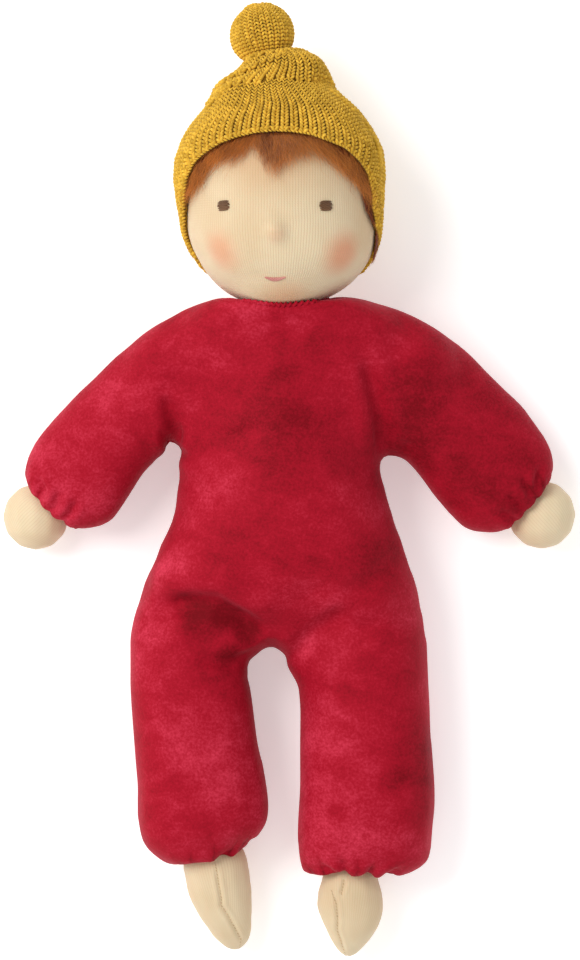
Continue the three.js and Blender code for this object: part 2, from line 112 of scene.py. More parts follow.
# %% Floor and lights
def area_light(name, place, size, watts, colour):
    data = bpy.data.lights.new(name, "AREA")
    data.shape = "DISK"
    data.size = size
    data.energy = watts
    data.color = colour
    light = bpy.data.objects.new(name, data)
    light.location = place
    light.rotation_euler = (-Vector(place)).to_track_quat("-Z", "Y").to_euler()
    bpy.context.scene.collection.objects.link(light)
    return light


# Each light's name, place and size (m), power (W) and colour.
LIGHTS = [("key", (-0.9, 0.5, 1.3), 1.0, 18.0, (1.0, 0.985, 0.965)),
          ("fill", (1.2, 0.1, 1.1), 1.0, 1.2, (0.97, 0.98, 1.0)),
          ("foot", (-0.2, -1.3, 0.8), 0.9, 2.5, (1, 1, 1))]
for light in LIGHTS:
    area_light(*light)

world = bpy.data.worlds.new("studio")
world.use_nodes = True
world.node_tree.nodes["Background"].inputs["Color"].default_value = (1, 1, 1, 1)
world.node_tree.nodes["Background"].inputs["Strength"].default_value = 0.6
bpy.context.scene.world = world
bpy.context.scene.view_settings.view_transform = "Standard"

floor_mesh = bmesh.new()
bmesh.ops.create_grid(floor_mesh, x_segments=2, y_segments=2, size=3.0)
floor_data = bpy.data.meshes.new("floor")
floor_mesh.to_mesh(floor_data)
floor_mesh.free()
floor = bpy.data.objects.new("floor", floor_data)
floor.location.z = -0.2 * MM
bpy.context.scene.collection.objects.link(floor)
paper = bpy.data.materials.new("paper")
paper.use_nodes = True
PAPER_FINISH = {"Base Color": (0.97, 0.97, 0.97, 1), "Roughness": 0.9, "Emission Color": (1, 1, 1, 1),
                "Emission Strength": 0.36}
for socket, value in PAPER_FINISH.items():
    paper.node_tree.nodes["Principled BSDF"].inputs[socket].default_value = value
floor_data.materials.append(paper)

# %% [markdown]
# Materials are node trees. They could be wired one node at a time, but then the wiring hides the idea. Small
# helpers start a material, add a node and fill its sockets, and link a socket when its value is the output of
# another node.

# %% Node helpers
def add_node(tree, kind, inputs=None, **settings):
    node = tree.nodes.new(kind)
    for name, value in settings.items():
        setattr(node, name, value)
    for name, value in (inputs or {}).items():
        socket = node.inputs[name]
        if isinstance(value, bpy.types.NodeSocket):
            tree.links.new(value, socket)
        else:
            socket.default_value = value
    return node


def start_material(name, **constants):
    material = bpy.data.materials.new(name)
    material.use_nodes = True
    shader = material.node_tree.nodes["Principled BSDF"]
    for socket, value in constants.items():
        shader.inputs[socket.replace("_", " ")].default_value = value
    return material, material.node_tree, shader


def colour(hex_code):
    """A colour as the shader wants it, from the code that a picture editor shows."""
    parts = [int(hex_code[i:i + 2], 16) / 255 for i in (0, 2, 4)]
    return (*[p / 12.92 if p <= 0.04045 else ((p + 0.055) / 1.055) ** 2.4 for p in parts], 1)


def math_node(tree, operation, *values, clamp=False):
    node = tree.nodes.new("ShaderNodeMath")
    node.operation = operation
    node.use_clamp = clamp
    for i, value in enumerate(values):
        if isinstance(value, bpy.types.NodeSocket):
            tree.links.new(value, node.inputs[i])
        else:
            node.inputs[i].default_value = value
    return node.outputs[0]


def mix_colour(tree, factor, a, b):
    node = tree.nodes.new("ShaderNodeMix")
    node.data_type = "RGBA"
    for socket, value in ((node.inputs[0], factor), (node.inputs[6], a), (node.inputs[7], b)):
        if isinstance(value, bpy.types.NodeSocket):
            tree.links.new(value, socket)
        else:
            socket.default_value = value
    return node.outputs[2]


def ramp(tree, factor, low, high):
    """0 below low, 1 above high, smooth between."""
    node = add_node(tree, "ShaderNodeMapRange", {"Value": factor, "From Min": low, "From Max": high},
                    interpolation_type="SMOOTHSTEP")
    return node.outputs["Result"]


def noise_at(tree, place, scale, detail=2.0, roughness=0.5, distortion=0.0):
    node = add_node(tree, "ShaderNodeTexNoise", {"Vector": place, "Scale": scale, "Detail": detail,
                                                "Roughness": roughness, "Distortion": distortion})
    return node.outputs["Fac"]


# %% [markdown]
# Every new piece starts as a bmesh and becomes an object at the origin; most are then attached to a body of the
# imported model.
# Edit mode could make the same shapes, but bmesh works without a window, and NumPy moves thousands of points
# in one line. A copy of imported nodes is welded first, because their triangles come loose.

# %% Mesh helpers
def copy_of(*names):
    work = bmesh.new()
    for name in names:
        work.from_mesh(frame["nodes"][name].data)
    bmesh.ops.remove_doubles(work, verts=work.verts, dist=0.01 * MM)
    return work


def piece_from(work, name, material=None):
    data = bpy.data.meshes.new(name)
    for face in work.faces:
        face.smooth = True
    work.to_mesh(data)
    work.free()
    obj = bpy.data.objects.new(name, data)
    bpy.context.scene.collection.objects.link(obj)
    if material:
        data.materials.append(material)
    return obj


def settle_modifiers(obj):
    """Applies the modifiers that an object has."""
    bpy.context.view_layer.update()
    shown = obj.evaluated_get(bpy.context.evaluated_depsgraph_get())
    data = bpy.data.meshes.new_from_object(shown)
    data.name = obj.name
    obj.modifiers.clear()
    obj.data = data
    return obj


def remeshed(obj, size):
    step = obj.modifiers.new("Remesh", "REMESH")
    step.mode = "VOXEL"
    step.voxel_size = size
    step.use_smooth_shade = True
    return settle_modifiers(obj)


def subdivided(obj):
    step = obj.modifiers.new("Subdivision", "SUBSURF")
    step.levels = 1
    step.render_levels = 1
    return settle_modifiers(obj)


def points_of(obj):
    co = np.empty(len(obj.data.vertices) * 3)
    obj.data.vertices.foreach_get("co", co)
    return co.reshape(-1, 3)


def set_points(obj, co):
    obj.data.vertices.foreach_set("co", np.asarray(co, float).ravel())
    obj.data.update()


def normals_of(obj):
    out = np.empty(len(obj.data.vertices) * 3)
    obj.data.vertices.foreach_get("normal", out)
    return out.reshape(-1, 3)


def smoothed(obj, rounds, factor=0.5):
    work = bmesh.new()
    work.from_mesh(obj.data)
    for _ in range(rounds):
        bmesh.ops.smooth_vert(work, verts=work.verts, factor=factor,
                              use_axis_x=True, use_axis_y=True, use_axis_z=True)
    work.to_mesh(obj.data)
    work.free()
    return obj


def push(co, place, reach, move):
    """Moves the points round a place, most in the middle and not at all beyond its reach."""
    far = np.linalg.norm((co - np.array(place)) / np.array(reach), axis=1)
    share = np.clip(1 - far ** 2, 0, 1) ** 2
    return co + share[:, None] * np.array(move)


def keep_largest_island(obj):
    work = bmesh.new()
    work.from_mesh(obj.data)
    left = set(work.verts)
    islands = []
    while left:
        island, edge = set(), [left.pop()]
        while edge:
            vertex = edge.pop()
            island.add(vertex)
            for e in vertex.link_edges:
                other = e.other_vert(vertex)
                if other in left:
                    left.discard(other)
                    edge.append(other)
        islands.append(island)
    islands.sort(key=len)
    for island in islands[:-1]:
        bmesh.ops.delete(work, geom=list(island), context="VERTS")
    work.to_mesh(obj.data)
    work.free()
    print(obj.name, "islands", len(islands), "points", len(obj.data.vertices))
    return obj


def repeated(shape, frames, name, shades, material):
    """One mesh of many copies of a small shape. Each frame is a 3 by 4 matrix; each copy keeps its shade."""
    bmesh.ops.triangulate(shape, faces=shape.faces)
    verts = np.array([v.co for v in shape.verts])
    faces = np.array([[v.index for v in f.verts] for f in shape.faces])
    shape.free()
    count = len(frames)
    co = np.einsum("nij,vj->nvi", frames[:, :, :3], verts) + frames[:, None, :, 3]
    corners = (faces[None] + np.arange(count)[:, None, None] * len(verts)).reshape(-1)
    data = bpy.data.meshes.new(name)
    data.vertices.add(count * len(verts))
    data.vertices.foreach_set("co", co.ravel())
    data.loops.add(len(corners))
    data.loops.foreach_set("vertex_index", corners)
    data.polygons.add(len(corners) // 3)
    data.polygons.foreach_set("loop_start", np.arange(0, len(corners), 3))
    data.polygons.foreach_set("use_smooth", np.ones(len(corners) // 3, bool))
    layer = data.attributes.new("shade", "FLOAT", "POINT")
    layer.data.foreach_set("value", np.repeat(shades, len(verts)))
    data.update(calc_edges=True)
    data.validate()
    data.materials.append(material)
    obj = bpy.data.objects.new(name, data)
    bpy.context.scene.collection.objects.link(obj)
    print(name, "copies", count, "triangles", len(data.polygons))
    return obj


# One seeded source gives every stitch its shade, so that each run looks the same.
chance = np.random.default_rng(7)

# %% [markdown]
# The suit is one bag of velour: body, arms and legs in one, packed with wool. It could be modelled from a box,
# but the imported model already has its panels, cut apart with small gaps for the joints. Swelling those panels
# a little, remeshing them into one skin and shrinking that skin again closes the gaps and keeps the sizes.

# %% The suit as one skin
SUIT_NODES = ["torso_front_panel", "torso_back_panel", "torso_stuffing", "neckline", "neck_wad"]
for side in ("left", "right"):
    SUIT_NODES += [f"{side}_{part}" for part in
                   ("sleeve_front", "sleeve_back", "arm_stuffing", "shoulder_wad",
                    "trouser_front", "trouser_back", "leg_stuffing")]
SWELL = 1.0 * MM
SKIN_POINTS_APART = 2.4 * MM
SMOOTHING_ROUNDS = 9
# The middle, half sizes and turn of the soft lumps of wool that fill the hips and round the shoulders.
FILLS = [((30.5, -57, 21.3), (23.5, 13, 22), 0), ((-34.5, -57, 21.3), (22.5, 13, 22), 0),
         ((47, 50, 33), (27, 13, 17), -36), ((-42, 49, 33), (25, 13, 17), 38),
         ((26, 59, 37), (20, 9.5, 18), -14), ((-22, 59, 37), (18, 9.5, 18), 14)]

suit_work = bmesh.new()
for node in SUIT_NODES:
    part = copy_of(node)
    part.normal_update()
    moves = [(v, v.normal.copy()) for v in part.verts]
    for v, n in moves:
        v.co += n * SWELL
    holder = bpy.data.meshes.new("part")
    part.to_mesh(holder)
    part.free()
    suit_work.from_mesh(holder)
    bpy.data.meshes.remove(holder)
for middle, halves, turn in FILLS:
    placed = (Matrix.Translation(Vector(middle) * MM) @ Matrix.Rotation(math.radians(turn), 4, "Z")
              @ Matrix.Diagonal((*(h * MM for h in halves), 1)))
    bmesh.ops.create_uvsphere(suit_work, u_segments=24, v_segments=16, radius=1, matrix=placed)
suit = piece_from(suit_work, "suit")
remeshed(suit, SKIN_POINTS_APART)
keep_largest_island(suit)
smoothed(suit, SMOOTHING_ROUNDS)
set_points(suit, points_of(suit) - normals_of(suit) * (SWELL + 0.1 * MM))


def box_of(obj):
    co = points_of(obj)
    return [round(x / MM, 1) for x in (*co.min(0), *co.max(0))]


print("suit", box_of(suit), "points", len(suit.data.vertices))

# %% [markdown]
# Wool fills the suit and rounds it. The skin could be sculpted round, but a cloth simulation with air pressure
# inside finds the bulges and pulls by itself. The gathered ends are pinned, so the cloth pulls towards them.
# How far a point may move is capped, and nothing goes below the table.

# %% Filling the suit
AXIS_HEIGHT = 40.8  # of the head, over the table (mm)
NECK = np.array((0, 66, AXIS_HEIGHT)) * MM
WRISTS = {"left": np.array((100.2, -13.1, 12.5)) * MM, "right": np.array((-93.5, -13.9, 12.1)) * MM}
ANKLES = {"left": np.array((26.2, -152.5, 17.05)) * MM, "right": np.array((-24.4, -146.5, 17.05)) * MM}


def distance_to(co, place):
    return np.linalg.norm(co - place, axis=1)


FILLING_CLOTH = {"quality": 6, "mass": 0.25, "tension_stiffness": 18, "compression_stiffness": 12,
                 "shear_stiffness": 6, "bending_stiffness": 0.35, "use_pressure": True,
                 "uniform_pressure_force": 3.2, "shrink_min": -0.015, "vertex_group_mass": "pinned",
                 "pin_stiffness": 1.0}
FILLING_FRAMES = 16
MOST_FILLING = 4.5 * MM


def puffed(obj, pinned):
    """Runs Cloth with pressure on a closed piece, then caps how far its points moved."""
    start = points_of(obj)
    group = obj.vertex_groups.new(name="pinned")
    group.add(np.flatnonzero(pinned).tolist(), 1.0, "REPLACE")
    cloth = obj.modifiers.new("Cloth", "CLOTH")
    for setting, value in FILLING_CLOTH.items():
        setattr(cloth.settings, setting, value)
    cloth.settings.effector_weights.gravity = 0
    cloth.collision_settings.use_collision = False
    cloth.point_cache.frame_start = 1
    cloth.point_cache.frame_end = FILLING_FRAMES
    scene = bpy.context.scene
    for number in range(1, FILLING_FRAMES + 1):
        scene.frame_set(number)
    settle_modifiers(obj)
    scene.frame_set(1)
    moved = points_of(obj) - start
    length = np.linalg.norm(moved, axis=1)
    share = np.minimum(1.0, MOST_FILLING / np.maximum(length, 1e-9))
    set_points(obj, start + moved * share[:, None])
    print(obj.name, "moved", round(float(length.mean()) / MM, 2), "mm, most",
          round(float(length.max()) / MM, 2))


# Cloth this near to a gathered end (mm) stays where it is.
PINNED = [(NECK, 17), *((place, 15.5) for place in WRISTS.values()), *((place, 14.5) for place in ANKLES.values())]
co = points_of(suit)
pinned = np.any([distance_to(co, place) < reach * MM for place, reach in PINNED], axis=0)
puffed(suit, pinned)
co = points_of(suit)
co[:, 2] = np.maximum(co[:, 2], 0.05 * MM)
set_points(suit, co)
print("suit filled", box_of(suit))

# %% [markdown]
# A sewn suit has measured widths, and the photograph shows them. Moving edges by hand could bring them about,
# but a list of measures is easier to read and to correct. At a few places along each sleeve, the body and
# each leg, the edges move to where the tape says, and what lies between moves in proportion.

# %% Widths of the suit
def drawn_to(along, across, share, stations):
    """How far points move across, so that the edges at each station come to its two places (mm)."""
    rows = []
    for at, low, high in stations:
        band = (np.abs(along - at * MM) < 1.6 * MM) & (share > 0.5)
        present = (across[band].min(), across[band].max())
        rows.append((at * MM, present[0], present[1],
                     0 if low is None else low * MM - present[0], high * MM - present[1]))
    rows = np.array(sorted(rows))
    low, high, low_move, high_move = (np.interp(along, rows[:, 0], rows[:, i]) for i in (1, 2, 3, 4))
    part = np.clip((across - low) / np.maximum(high - low, 1e-6), 0, 1)
    return share * ((1 - part) * low_move + part * high_move)


def eased(value, start, end):
    t = np.clip((value - start) / (end - start), 0, 1)
    return t * t * (3 - 2 * t)


# Along a sleeve from the neck to the cuff: the place, the under-arm edge and the shoulder edge.
SLEEVES = {
    "left": ((39.1, 66.7), (0.778, -0.628), (0.628, 0.778), -42,
             [(0, None, 0), (10, None, 3.5), (25, None, 5.9), (38, None, 6.2), (46, -40.6, 5.3), (56, -42.7, 4.3),
              (66, -45.0, 3.4), (77, -46.2, 0.8), (84, -44.2, -1.4)]),
    "right": ((-31.5, 66.7), (-0.772, -0.635), (-0.635, 0.772), -36,
              [(0, None, 0), (10, None, 2.6), (23, None, 4.3), (36, None, 4.4), (47, -35.1, 3.6), (57, -36.8, 3.0),
               (67, -39.6, 1.8), (77, -42.2, 0.2), (85, -40.4, -2.4)]),
}
# Down the body and legs: the height, the edge towards the middle and the edge at the side.
CENTRE = -3.0
LEGS = {
    "left": [(6, None, 38.4), (-2, None, 39.9), (-9, None, 41.8), (-17, None, 44.1), (-24, None, 46.7),
             (-32, None, 49.0), (-40, None, 51.7), (-48, None, 53.4), (-55, None, 54.8), (-62, None, 55.9),
             (-70, 2.7, 56.3), (-78, 6.8, 56.6), (-86, 7.6, 57.0), (-100, 7.6, 57.8), (-116, 7.6, 58.9),
             (-124, 7.2, 58.9), (-131, 6.8, 58.4), (-138, 6.8, 57.8), (-143, 7.4, 57.0)],
    "right": [(6, None, 38.0), (-2, None, 38.8), (-9, None, 39.5), (-17, None, 42.2), (-24, None, 45.2),
              (-32, None, 48.6), (-40, None, 51.7), (-48, None, 54.7), (-55, None, 55.9), (-62, None, 57.0),
              (-70, 12.5, 57.0), (-78, 11.4, 57.0), (-86, 10.3, 56.6), (-100, 8.4, 55.5), (-116, 5.3, 54.3),
              (-124, 4.4, 54.3), (-131, 5.0, 53.8), (-137, 8.8, 52.8)],
}


def to_measured_widths(co):
    for side, sign in (("left", 1), ("right", -1)):
        origin, facing, outward, armpit, stations = SLEEVES[side]
        flat = co[:, :2] - np.array(origin) * MM
        along, across = flat @ facing, flat @ outward
        lows = np.array([(at, low) for at, low, _ in stations if low is not None])
        lowest = np.interp(along, lows[:, 0] * MM, lows[:, 1] * MM)
        on_arm = np.where(along > (lows[0, 0] - 8) * MM, eased(across, lowest - 4.5 * MM, lowest - 2.5 * MM), 1.0)
        share = on_arm * eased(along, -12 * MM, 0) * eased(across, -150 * MM, -100 * MM)
        share = share * eased(co[:, 0] * sign, 10 * MM, 24 * MM)
        share = np.where(along < (lows[0, 0] - 8) * MM, share * eased(across, armpit * MM, (armpit + 12) * MM), share)
        co[:, :2] += drawn_to(along, across, share, stations)[:, None] * np.array(outward)
    for side, sign in (("left", 1), ("right", -1)):
        reach = co[:, 0] * sign
        middle = CENTRE * MM * sign
        furthest = np.interp(co[:, 1], np.array((-34, -26, -14, 6)) * MM, np.array((66, 56, 52, 47)) * MM)
        share = (reach > middle) * eased(-co[:, 1], -14 * MM, -4 * MM) * eased(furthest - reach, 0, 3 * MM)
        co[:, 0] += sign * drawn_to(co[:, 1], reach, share, LEGS[side])
    return co


co = points_of(suit)
for _ in range(2):
    co = to_measured_widths(co)
set_points(suit, co)
smoothed(suit, 3)
set_points(suit, to_measured_widths(points_of(suit)))
print("suit drawn to its widths", box_of(suit))

# %% [markdown]
# Velour gathers where thread draws it in, and it creases where the limbs meet the body. The simulation is too
# coarse for such lines, so they are drawn where the photograph shows them, on a skin divided once more. A
# crease is a soft groove with a small roll beside it; gathers are waves round a tie that die out along the
# cloth.

# %% Creases and gathers
subdivided(suit)


def creased(co, outward, path, width, depth):
    """Presses a soft groove into the front of the cloth along a path of places in millimetres."""
    path = np.array(path) * MM
    lengths = np.concatenate([[0], np.cumsum(np.linalg.norm(np.diff(path, axis=0), axis=1))])
    nearest, part = np.full(len(co), 1.0), np.zeros(len(co))
    for i, (a, b) in enumerate(zip(path, path[1:])):
        way = b - a
        t = np.clip(((co[:, :2] - a) @ way) / (way @ way), 0, 1)
        gap = np.linalg.norm(co[:, :2] - a - t[:, None] * way, axis=1)
        part = np.where(gap < nearest, (lengths[i] + t * (lengths[i + 1] - lengths[i])) / lengths[-1], part)
        nearest = np.minimum(nearest, gap)
    gap = nearest / (width * MM)
    fade = np.clip(np.sin(math.pi * np.clip(part, 0.03, 0.97)) * 1.6, 0, 1) * (co[:, 2] > 16 * MM)
    groove = np.clip(1 - gap ** 2, 0, 1) ** 2
    roll = np.clip(1 - (gap - 1.6) ** 2, 0, 1) ** 2
    return co + outward * ((roll * 0.3 - groove) * depth * MM * fade)[:, None]


def gathered(co, outward, middle, facing, count, depth, near, reach, spin):
    """Waves round a tie: the pleats of gathered cloth."""
    facing = Vector(facing).normalized()
    sideways = facing.orthogonal().normalized()
    square = facing.cross(sideways)
    away = co - np.array(middle)
    turn = np.arctan2(away @ np.array(square), away @ np.array(sideways)) + spin
    turn = turn + 0.10 * np.sin(3 * turn + 1) + 0.07 * np.sin(5 * turn + 2)
    strength = 1 - eased(np.linalg.norm(away, axis=1), near * MM, reach * MM)
    strength = strength * (0.6 + 0.25 * np.sin(2 * turn + spin) + 0.15 * np.sin(5 * turn + 2 * spin))
    wave = np.abs(np.sin(turn * count / 2)) ** 0.7 - 0.7
    return co + outward * (wave * strength * depth * MM)[:, None]


# Each crease has its places (mm), its width and its depth.
CREASES = [
    ([(-50, -49), (-33.4, -46.5), (-24.7, -47.2), (-14.4, -53.5), (-4, -61.5)], 6.5, 4.6),  # right hip
    ([(-5, -64.5), (-18, -68.5), (-33, -67.5)], 3.4, 1.5),  # from the fork, below the hip's
    ([(4, -64.5), (13, -57.5), (27, -48)], 5.5, 2.0),  # left hip
    ([(-41.8, 9), (-39.8, 16), (-40.5, 23), (-43.6, 33)], 3.6, 3.0),  # right armpit
    ([(-39, 15), (-35.5, 22), (-38.5, 31)], 2.6, 0.9),  # beside it, on the chest
    ([(39.2, 9), (38.6, 18), (37.2, 28), (34.5, 38), (31, 47)], 4.2, 2.9),  # left armpit
    ([(-30, 19), (-18, 17), (-6, 19)], 3.0, 0.6),  # across the chest
    ([(42, -30), (34, -38), (22, -42)], 5.5, 0.8),  # left waist
    ([(-38, 3), (-30, -4), (-24, -14)], 4.5, 0.7),  # right side
    ([(-46, 20), (-41, 12), (-33, 8)], 2.8, 1.2),  # under the right arm
    ([(41, 22), (45, 14), (50, 11)], 3.0, 1.0),  # under the left arm
]
# Small pleats at the hems and cuffs, by their pixels in the picture.
PLEATS = [[(214, 866), (221, 858), (234, 850)], [(358, 881), (345, 878), (330, 871), (318, 863)],
          [(360, 881), (369, 874), (374, 864)], [(379, 884), (388, 876), (402, 868)],
          [(344, 877), (345, 868), (340, 858)], [(541, 468), (536, 481), (538, 492)],
          [(498, 511), (508, 516), (518, 523)], [(506, 494), (516, 502), (522, 510)],
          [(522, 476), (527, 488), (532, 497)], [(36, 476), (43, 490), (40, 501)],
          [(60, 490), (56, 506), (50, 512)], [(78, 500), (70, 514), (62, 520)]]
PLEAT_WIDTH, PLEAT_DEPTH = 2.0, 1.5
FACING = {"left_hand": (0.66, -0.75, 0), "right_hand": (-0.7, -0.71, 0),
          "left_foot": (0, -1, 0), "right_foot": (0.19, -0.98, 0)}
# Gathers: the tie, the limb's end that it closes, how many waves, how deep, from where to where, and their turn.
GATHERS = [(WRISTS["left"], "left_hand", 13, 1.5, 12, 27, 0.4), (WRISTS["right"], "right_hand", 13, 1.5, 12, 27, 0.4),
           (ANKLES["left"], "left_foot", 9, 0.55, 13, 32, 0.2), (ANKLES["right"], "right_foot", 7, 0.4, 13, 30, 1.1)]
# Soft moves of the cloth: a place, its reach and the move (mm).
SUIT_PUSHES = [((1, 70, 60), (25, 11, 22), (0, -2.9, -0.4)),  # the collar, under the chin
               ((-34, -144, 18), (16, 11, 27), (0, -3.4, 0)),  # the right hem, on the outside
               ((-12, -142, 18), (8, 8, 28), (-0.8, 3.6, 0)),  # the right hem, on the inside
               ((-3.5, -65, 27), (8, 8, 40), (0, 2.8, 0))]  # the fork
co, outward = points_of(suit), normals_of(suit)
for path, width, depth in CREASES:
    co = creased(co, outward, path, width, depth)
for path in PLEATS:
    co = creased(co, outward, [from_picture(*spot) for spot in path], PLEAT_WIDTH, PLEAT_DEPTH)
for tie, end, *waves in GATHERS:
    co = gathered(co, outward, tie, FACING[end], *waves)
for place, reach, move in SUIT_PUSHES:
    co = push(co, np.array(place) * MM, np.array(reach) * MM, np.array(move) * MM)
co[:, 2] = np.maximum(co[:, 2], 0.05 * MM)
set_points(suit, co)
print("suit creased", box_of(suit))

# %% [markdown]
# The head is a firm ball of wool in a tube of jersey, tied off at the neck. A sphere is too round for it: the
# crown is flatter and the cheeks are full. Turning a profile about the head's axis gives the right ball, and
# a few soft pushes give it the small nose and the cheeks.

# %% The head
NECK_END = 61  # where the ball of the head starts, up the doll (mm)
HEAD_AXIS = Vector((0, NECK_END, AXIS_HEIGHT)) * MM
HEAD_RADIUS, HEAD_LIFT, CHIN_HEIGHT, CHEEK_HEIGHT, CROWN_HEIGHT = (x * MM for x in (35.5, 4.4, 31.2, 17.5, 28.5))
HEAD_SQUARENESS = 2.1


def head_outline(out, steps=22, neck=9.6 * MM, neck_end=-20 * MM):
    """Radius and height of the head's outline, from the crown to the end of the neck."""
    widest = HEAD_LIFT + CHIN_HEIGHT
    points = []
    for i in range(steps + 1):
        turn = math.pi / 2 * (1 - i / steps)
        radius = (HEAD_RADIUS + out) * max(math.cos(turn), 0) ** (2 / HEAD_SQUARENESS)
        rise = (CROWN_HEIGHT + out) * math.sin(turn) ** (2 / HEAD_SQUARENESS)
        points.append((radius, widest + CHEEK_HEIGHT + rise))
    for i in range(1, 6):
        points.append((HEAD_RADIUS + out, widest + CHEEK_HEIGHT * (1 - i / 5)))
    for i in range(1, steps + 1):
        turn = math.pi / 2 * i / steps
        radius = (HEAD_RADIUS + out) * max(math.cos(turn), 0) ** (2 / HEAD_SQUARENESS)
        if radius < neck + out + 1.5 * MM:
            break
        points.append((radius, widest - (CHIN_HEIGHT + out) * math.sin(turn) ** (2 / HEAD_SQUARENESS)))
    points += [(neck + out, HEAD_LIFT * 0.3), (neck + out, neck_end * 0.4), (neck + out, neck_end), (0, neck_end)]
    return points


def turned(outline, steps=96):
    """A closed skin turned about the head's axis."""
    work = bmesh.new()
    verts = [work.verts.new(HEAD_AXIS + Vector((0, up, radius))) for radius, up in outline]
    edges = [work.edges.new(pair) for pair in zip(verts, verts[1:])]
    bmesh.ops.spin(work, geom=verts + edges, cent=HEAD_AXIS, axis=(0, 1, 0), angle=2 * math.pi,
                   steps=steps, use_merge=True)
    bmesh.ops.remove_doubles(work, verts=work.verts, dist=0.01 * MM)
    bmesh.ops.recalc_face_normals(work, faces=work.faces)
    return work


head = piece_from(turned(head_outline(0)), "head_jersey")
co = points_of(head)
# Soft moves of the jersey: a place, its reach and the move (mm).
HEAD_PUSHES = [((-2.6, 92.4, 76), (5.6, 4.8, 12), (0, 0, 4.0)),  # the nose
               ((-19, 86, 66), (14, 13, 14), (-0.5, 0, 0.8)),  # the right cheek
               ((17, 86, 67), (14, 13, 14), (0.5, 0, 0.8)),  # the left cheek
               ((-3, 105, 76), (22, 4.5, 14), (0, 0, -0.5)),  # the line of the eyes
               ((0, 69, 58), (26, 9, 17), (0, -2.6, 0))]  # the chin
for place, reach, move in HEAD_PUSHES:
    co = push(co, np.array(place) * MM, np.array(reach) * MM, np.array(move) * MM)
jaw = np.exp(-(((co[:, 1] / MM - 79) / 9.5) ** 2))
co[:, 0] *= 1 - 0.015 * jaw


def face_lean(up):
    """How far the face is sewn to the doll's left at a height (mm)."""
    return np.interp(up, (62, 68, 75, 83, 90, 94, 101), (0, 0.6, 1.3, 1.5, 1.0, 0.6, 0.0))


co[:, 0] += face_lean(co[:, 1] / MM) * MM
set_points(head, co)
print("head", box_of(head))

# %% [markdown]
# Hair, eyes and mouth are sewn on the jersey, where the photograph shows them. Their places could be measured
# by hand, but a ray from the camera, or straight down, finds the surface under any place, so all of them lie
# on it.

# %% Places on the face
head_tree = BVHTree.FromObject(head, bpy.context.evaluated_depsgraph_get())


def on_face(x, y, above=0.0):
    """The jersey's surface under a place of the face (mm), and its direction out."""
    place, outward, _, _ = head_tree.ray_cast(Vector((x * MM, y * MM, 0.2)), Vector((0, 0, -1)))
    return place + outward * above * MM, outward


def sight(across, down):
    """The way from the camera through a pixel of its picture."""
    return (Vector((*from_picture(across, down), SCALE_HEIGHT)) * MM - camera.location).normalized()


def seen_on(tree, across, down):
    """The place of a surface that the camera sees at a pixel of its picture."""
    return tree.ray_cast(camera.location, sight(across, down))[0]


def seen_at(across, down):
    place = seen_on(head_tree, across, down)
    return place.x / MM, place.y / MM


# %% [markdown]
# The neckline is drawn in with thread, so its edge stands up in small ruffles under the chin. They are too
# fine for the skin's points, and bump would leave the edge straight. So a thin round roll of cloth is spun
# about the neck, waved, and laid along the line where the collar leaves the head. Rays find that line: where
# the picture shows it in front, and from the head's side behind.

# %% The ruffled neckline
RUFFLES = 58
ROLL_RADIUS, RING_RADIUS = 0.85 * MM, 20 * MM
ruffle_work = bmesh.new()
bmesh.ops.create_circle(ruffle_work, segments=10, radius=ROLL_RADIUS,
                        matrix=Matrix.Translation(HEAD_AXIS + Vector((0, 0, RING_RADIUS)))
                        @ Matrix.Rotation(math.pi / 2, 4, "Y"))
bmesh.ops.spin(ruffle_work, geom=ruffle_work.edges[:] + ruffle_work.verts[:], cent=HEAD_AXIS, axis=(0, 1, 0),
               angle=2 * math.pi, steps=RUFFLES * 8, use_merge=True)
bmesh.ops.remove_doubles(ruffle_work, verts=ruffle_work.verts, dist=0.005 * MM)
bmesh.ops.recalc_face_normals(ruffle_work, faces=ruffle_work.faces)
ruffle = piece_from(ruffle_work, "neckline_ruffle")
suit_tree = BVHTree.FromObject(suit, bpy.context.evaluated_depsgraph_get())


def collar_line(turn):
    """Distance from the neck's middle and height at which the collar comes out from under the head (mm)."""
    best = (22.0, 62.0)
    for far in np.arange(13, 31, 0.25):
        place = Vector((far * math.sin(turn), 0, AXIS_HEIGHT + far * math.cos(turn)))
        cloth = suit_tree.ray_cast((place + Vector((0, 95, 0))) * MM, Vector((0, -1, 0)))[0]
        chin = head_tree.ray_cast((place + Vector((0, 50, 0))) * MM, Vector((0, 1, 0)))[0]
        if cloth is None or chin is None:
            break
        if cloth.y > chin.y - 0.2 * MM:
            best = (far, cloth.y / MM)
    return best


def collar_seen(across):
    """The same for a column of the picture: turn, distance and height where the collar starts to show (mm)."""
    for down in np.arange(290, 330, 0.5):
        cloth, chin = (tree.ray_cast(camera.location, sight(across, down)) for tree in (suit_tree, head_tree))
        if cloth[0] is not None and (chin[0] is None or cloth[3] < chin[3]):
            x, y, z = cloth[0] / MM
            return math.atan2(x, z - AXIS_HEIGHT), math.hypot(x, z - AXIS_HEIGHT), y
    return 0.0, 20.0, 68.0


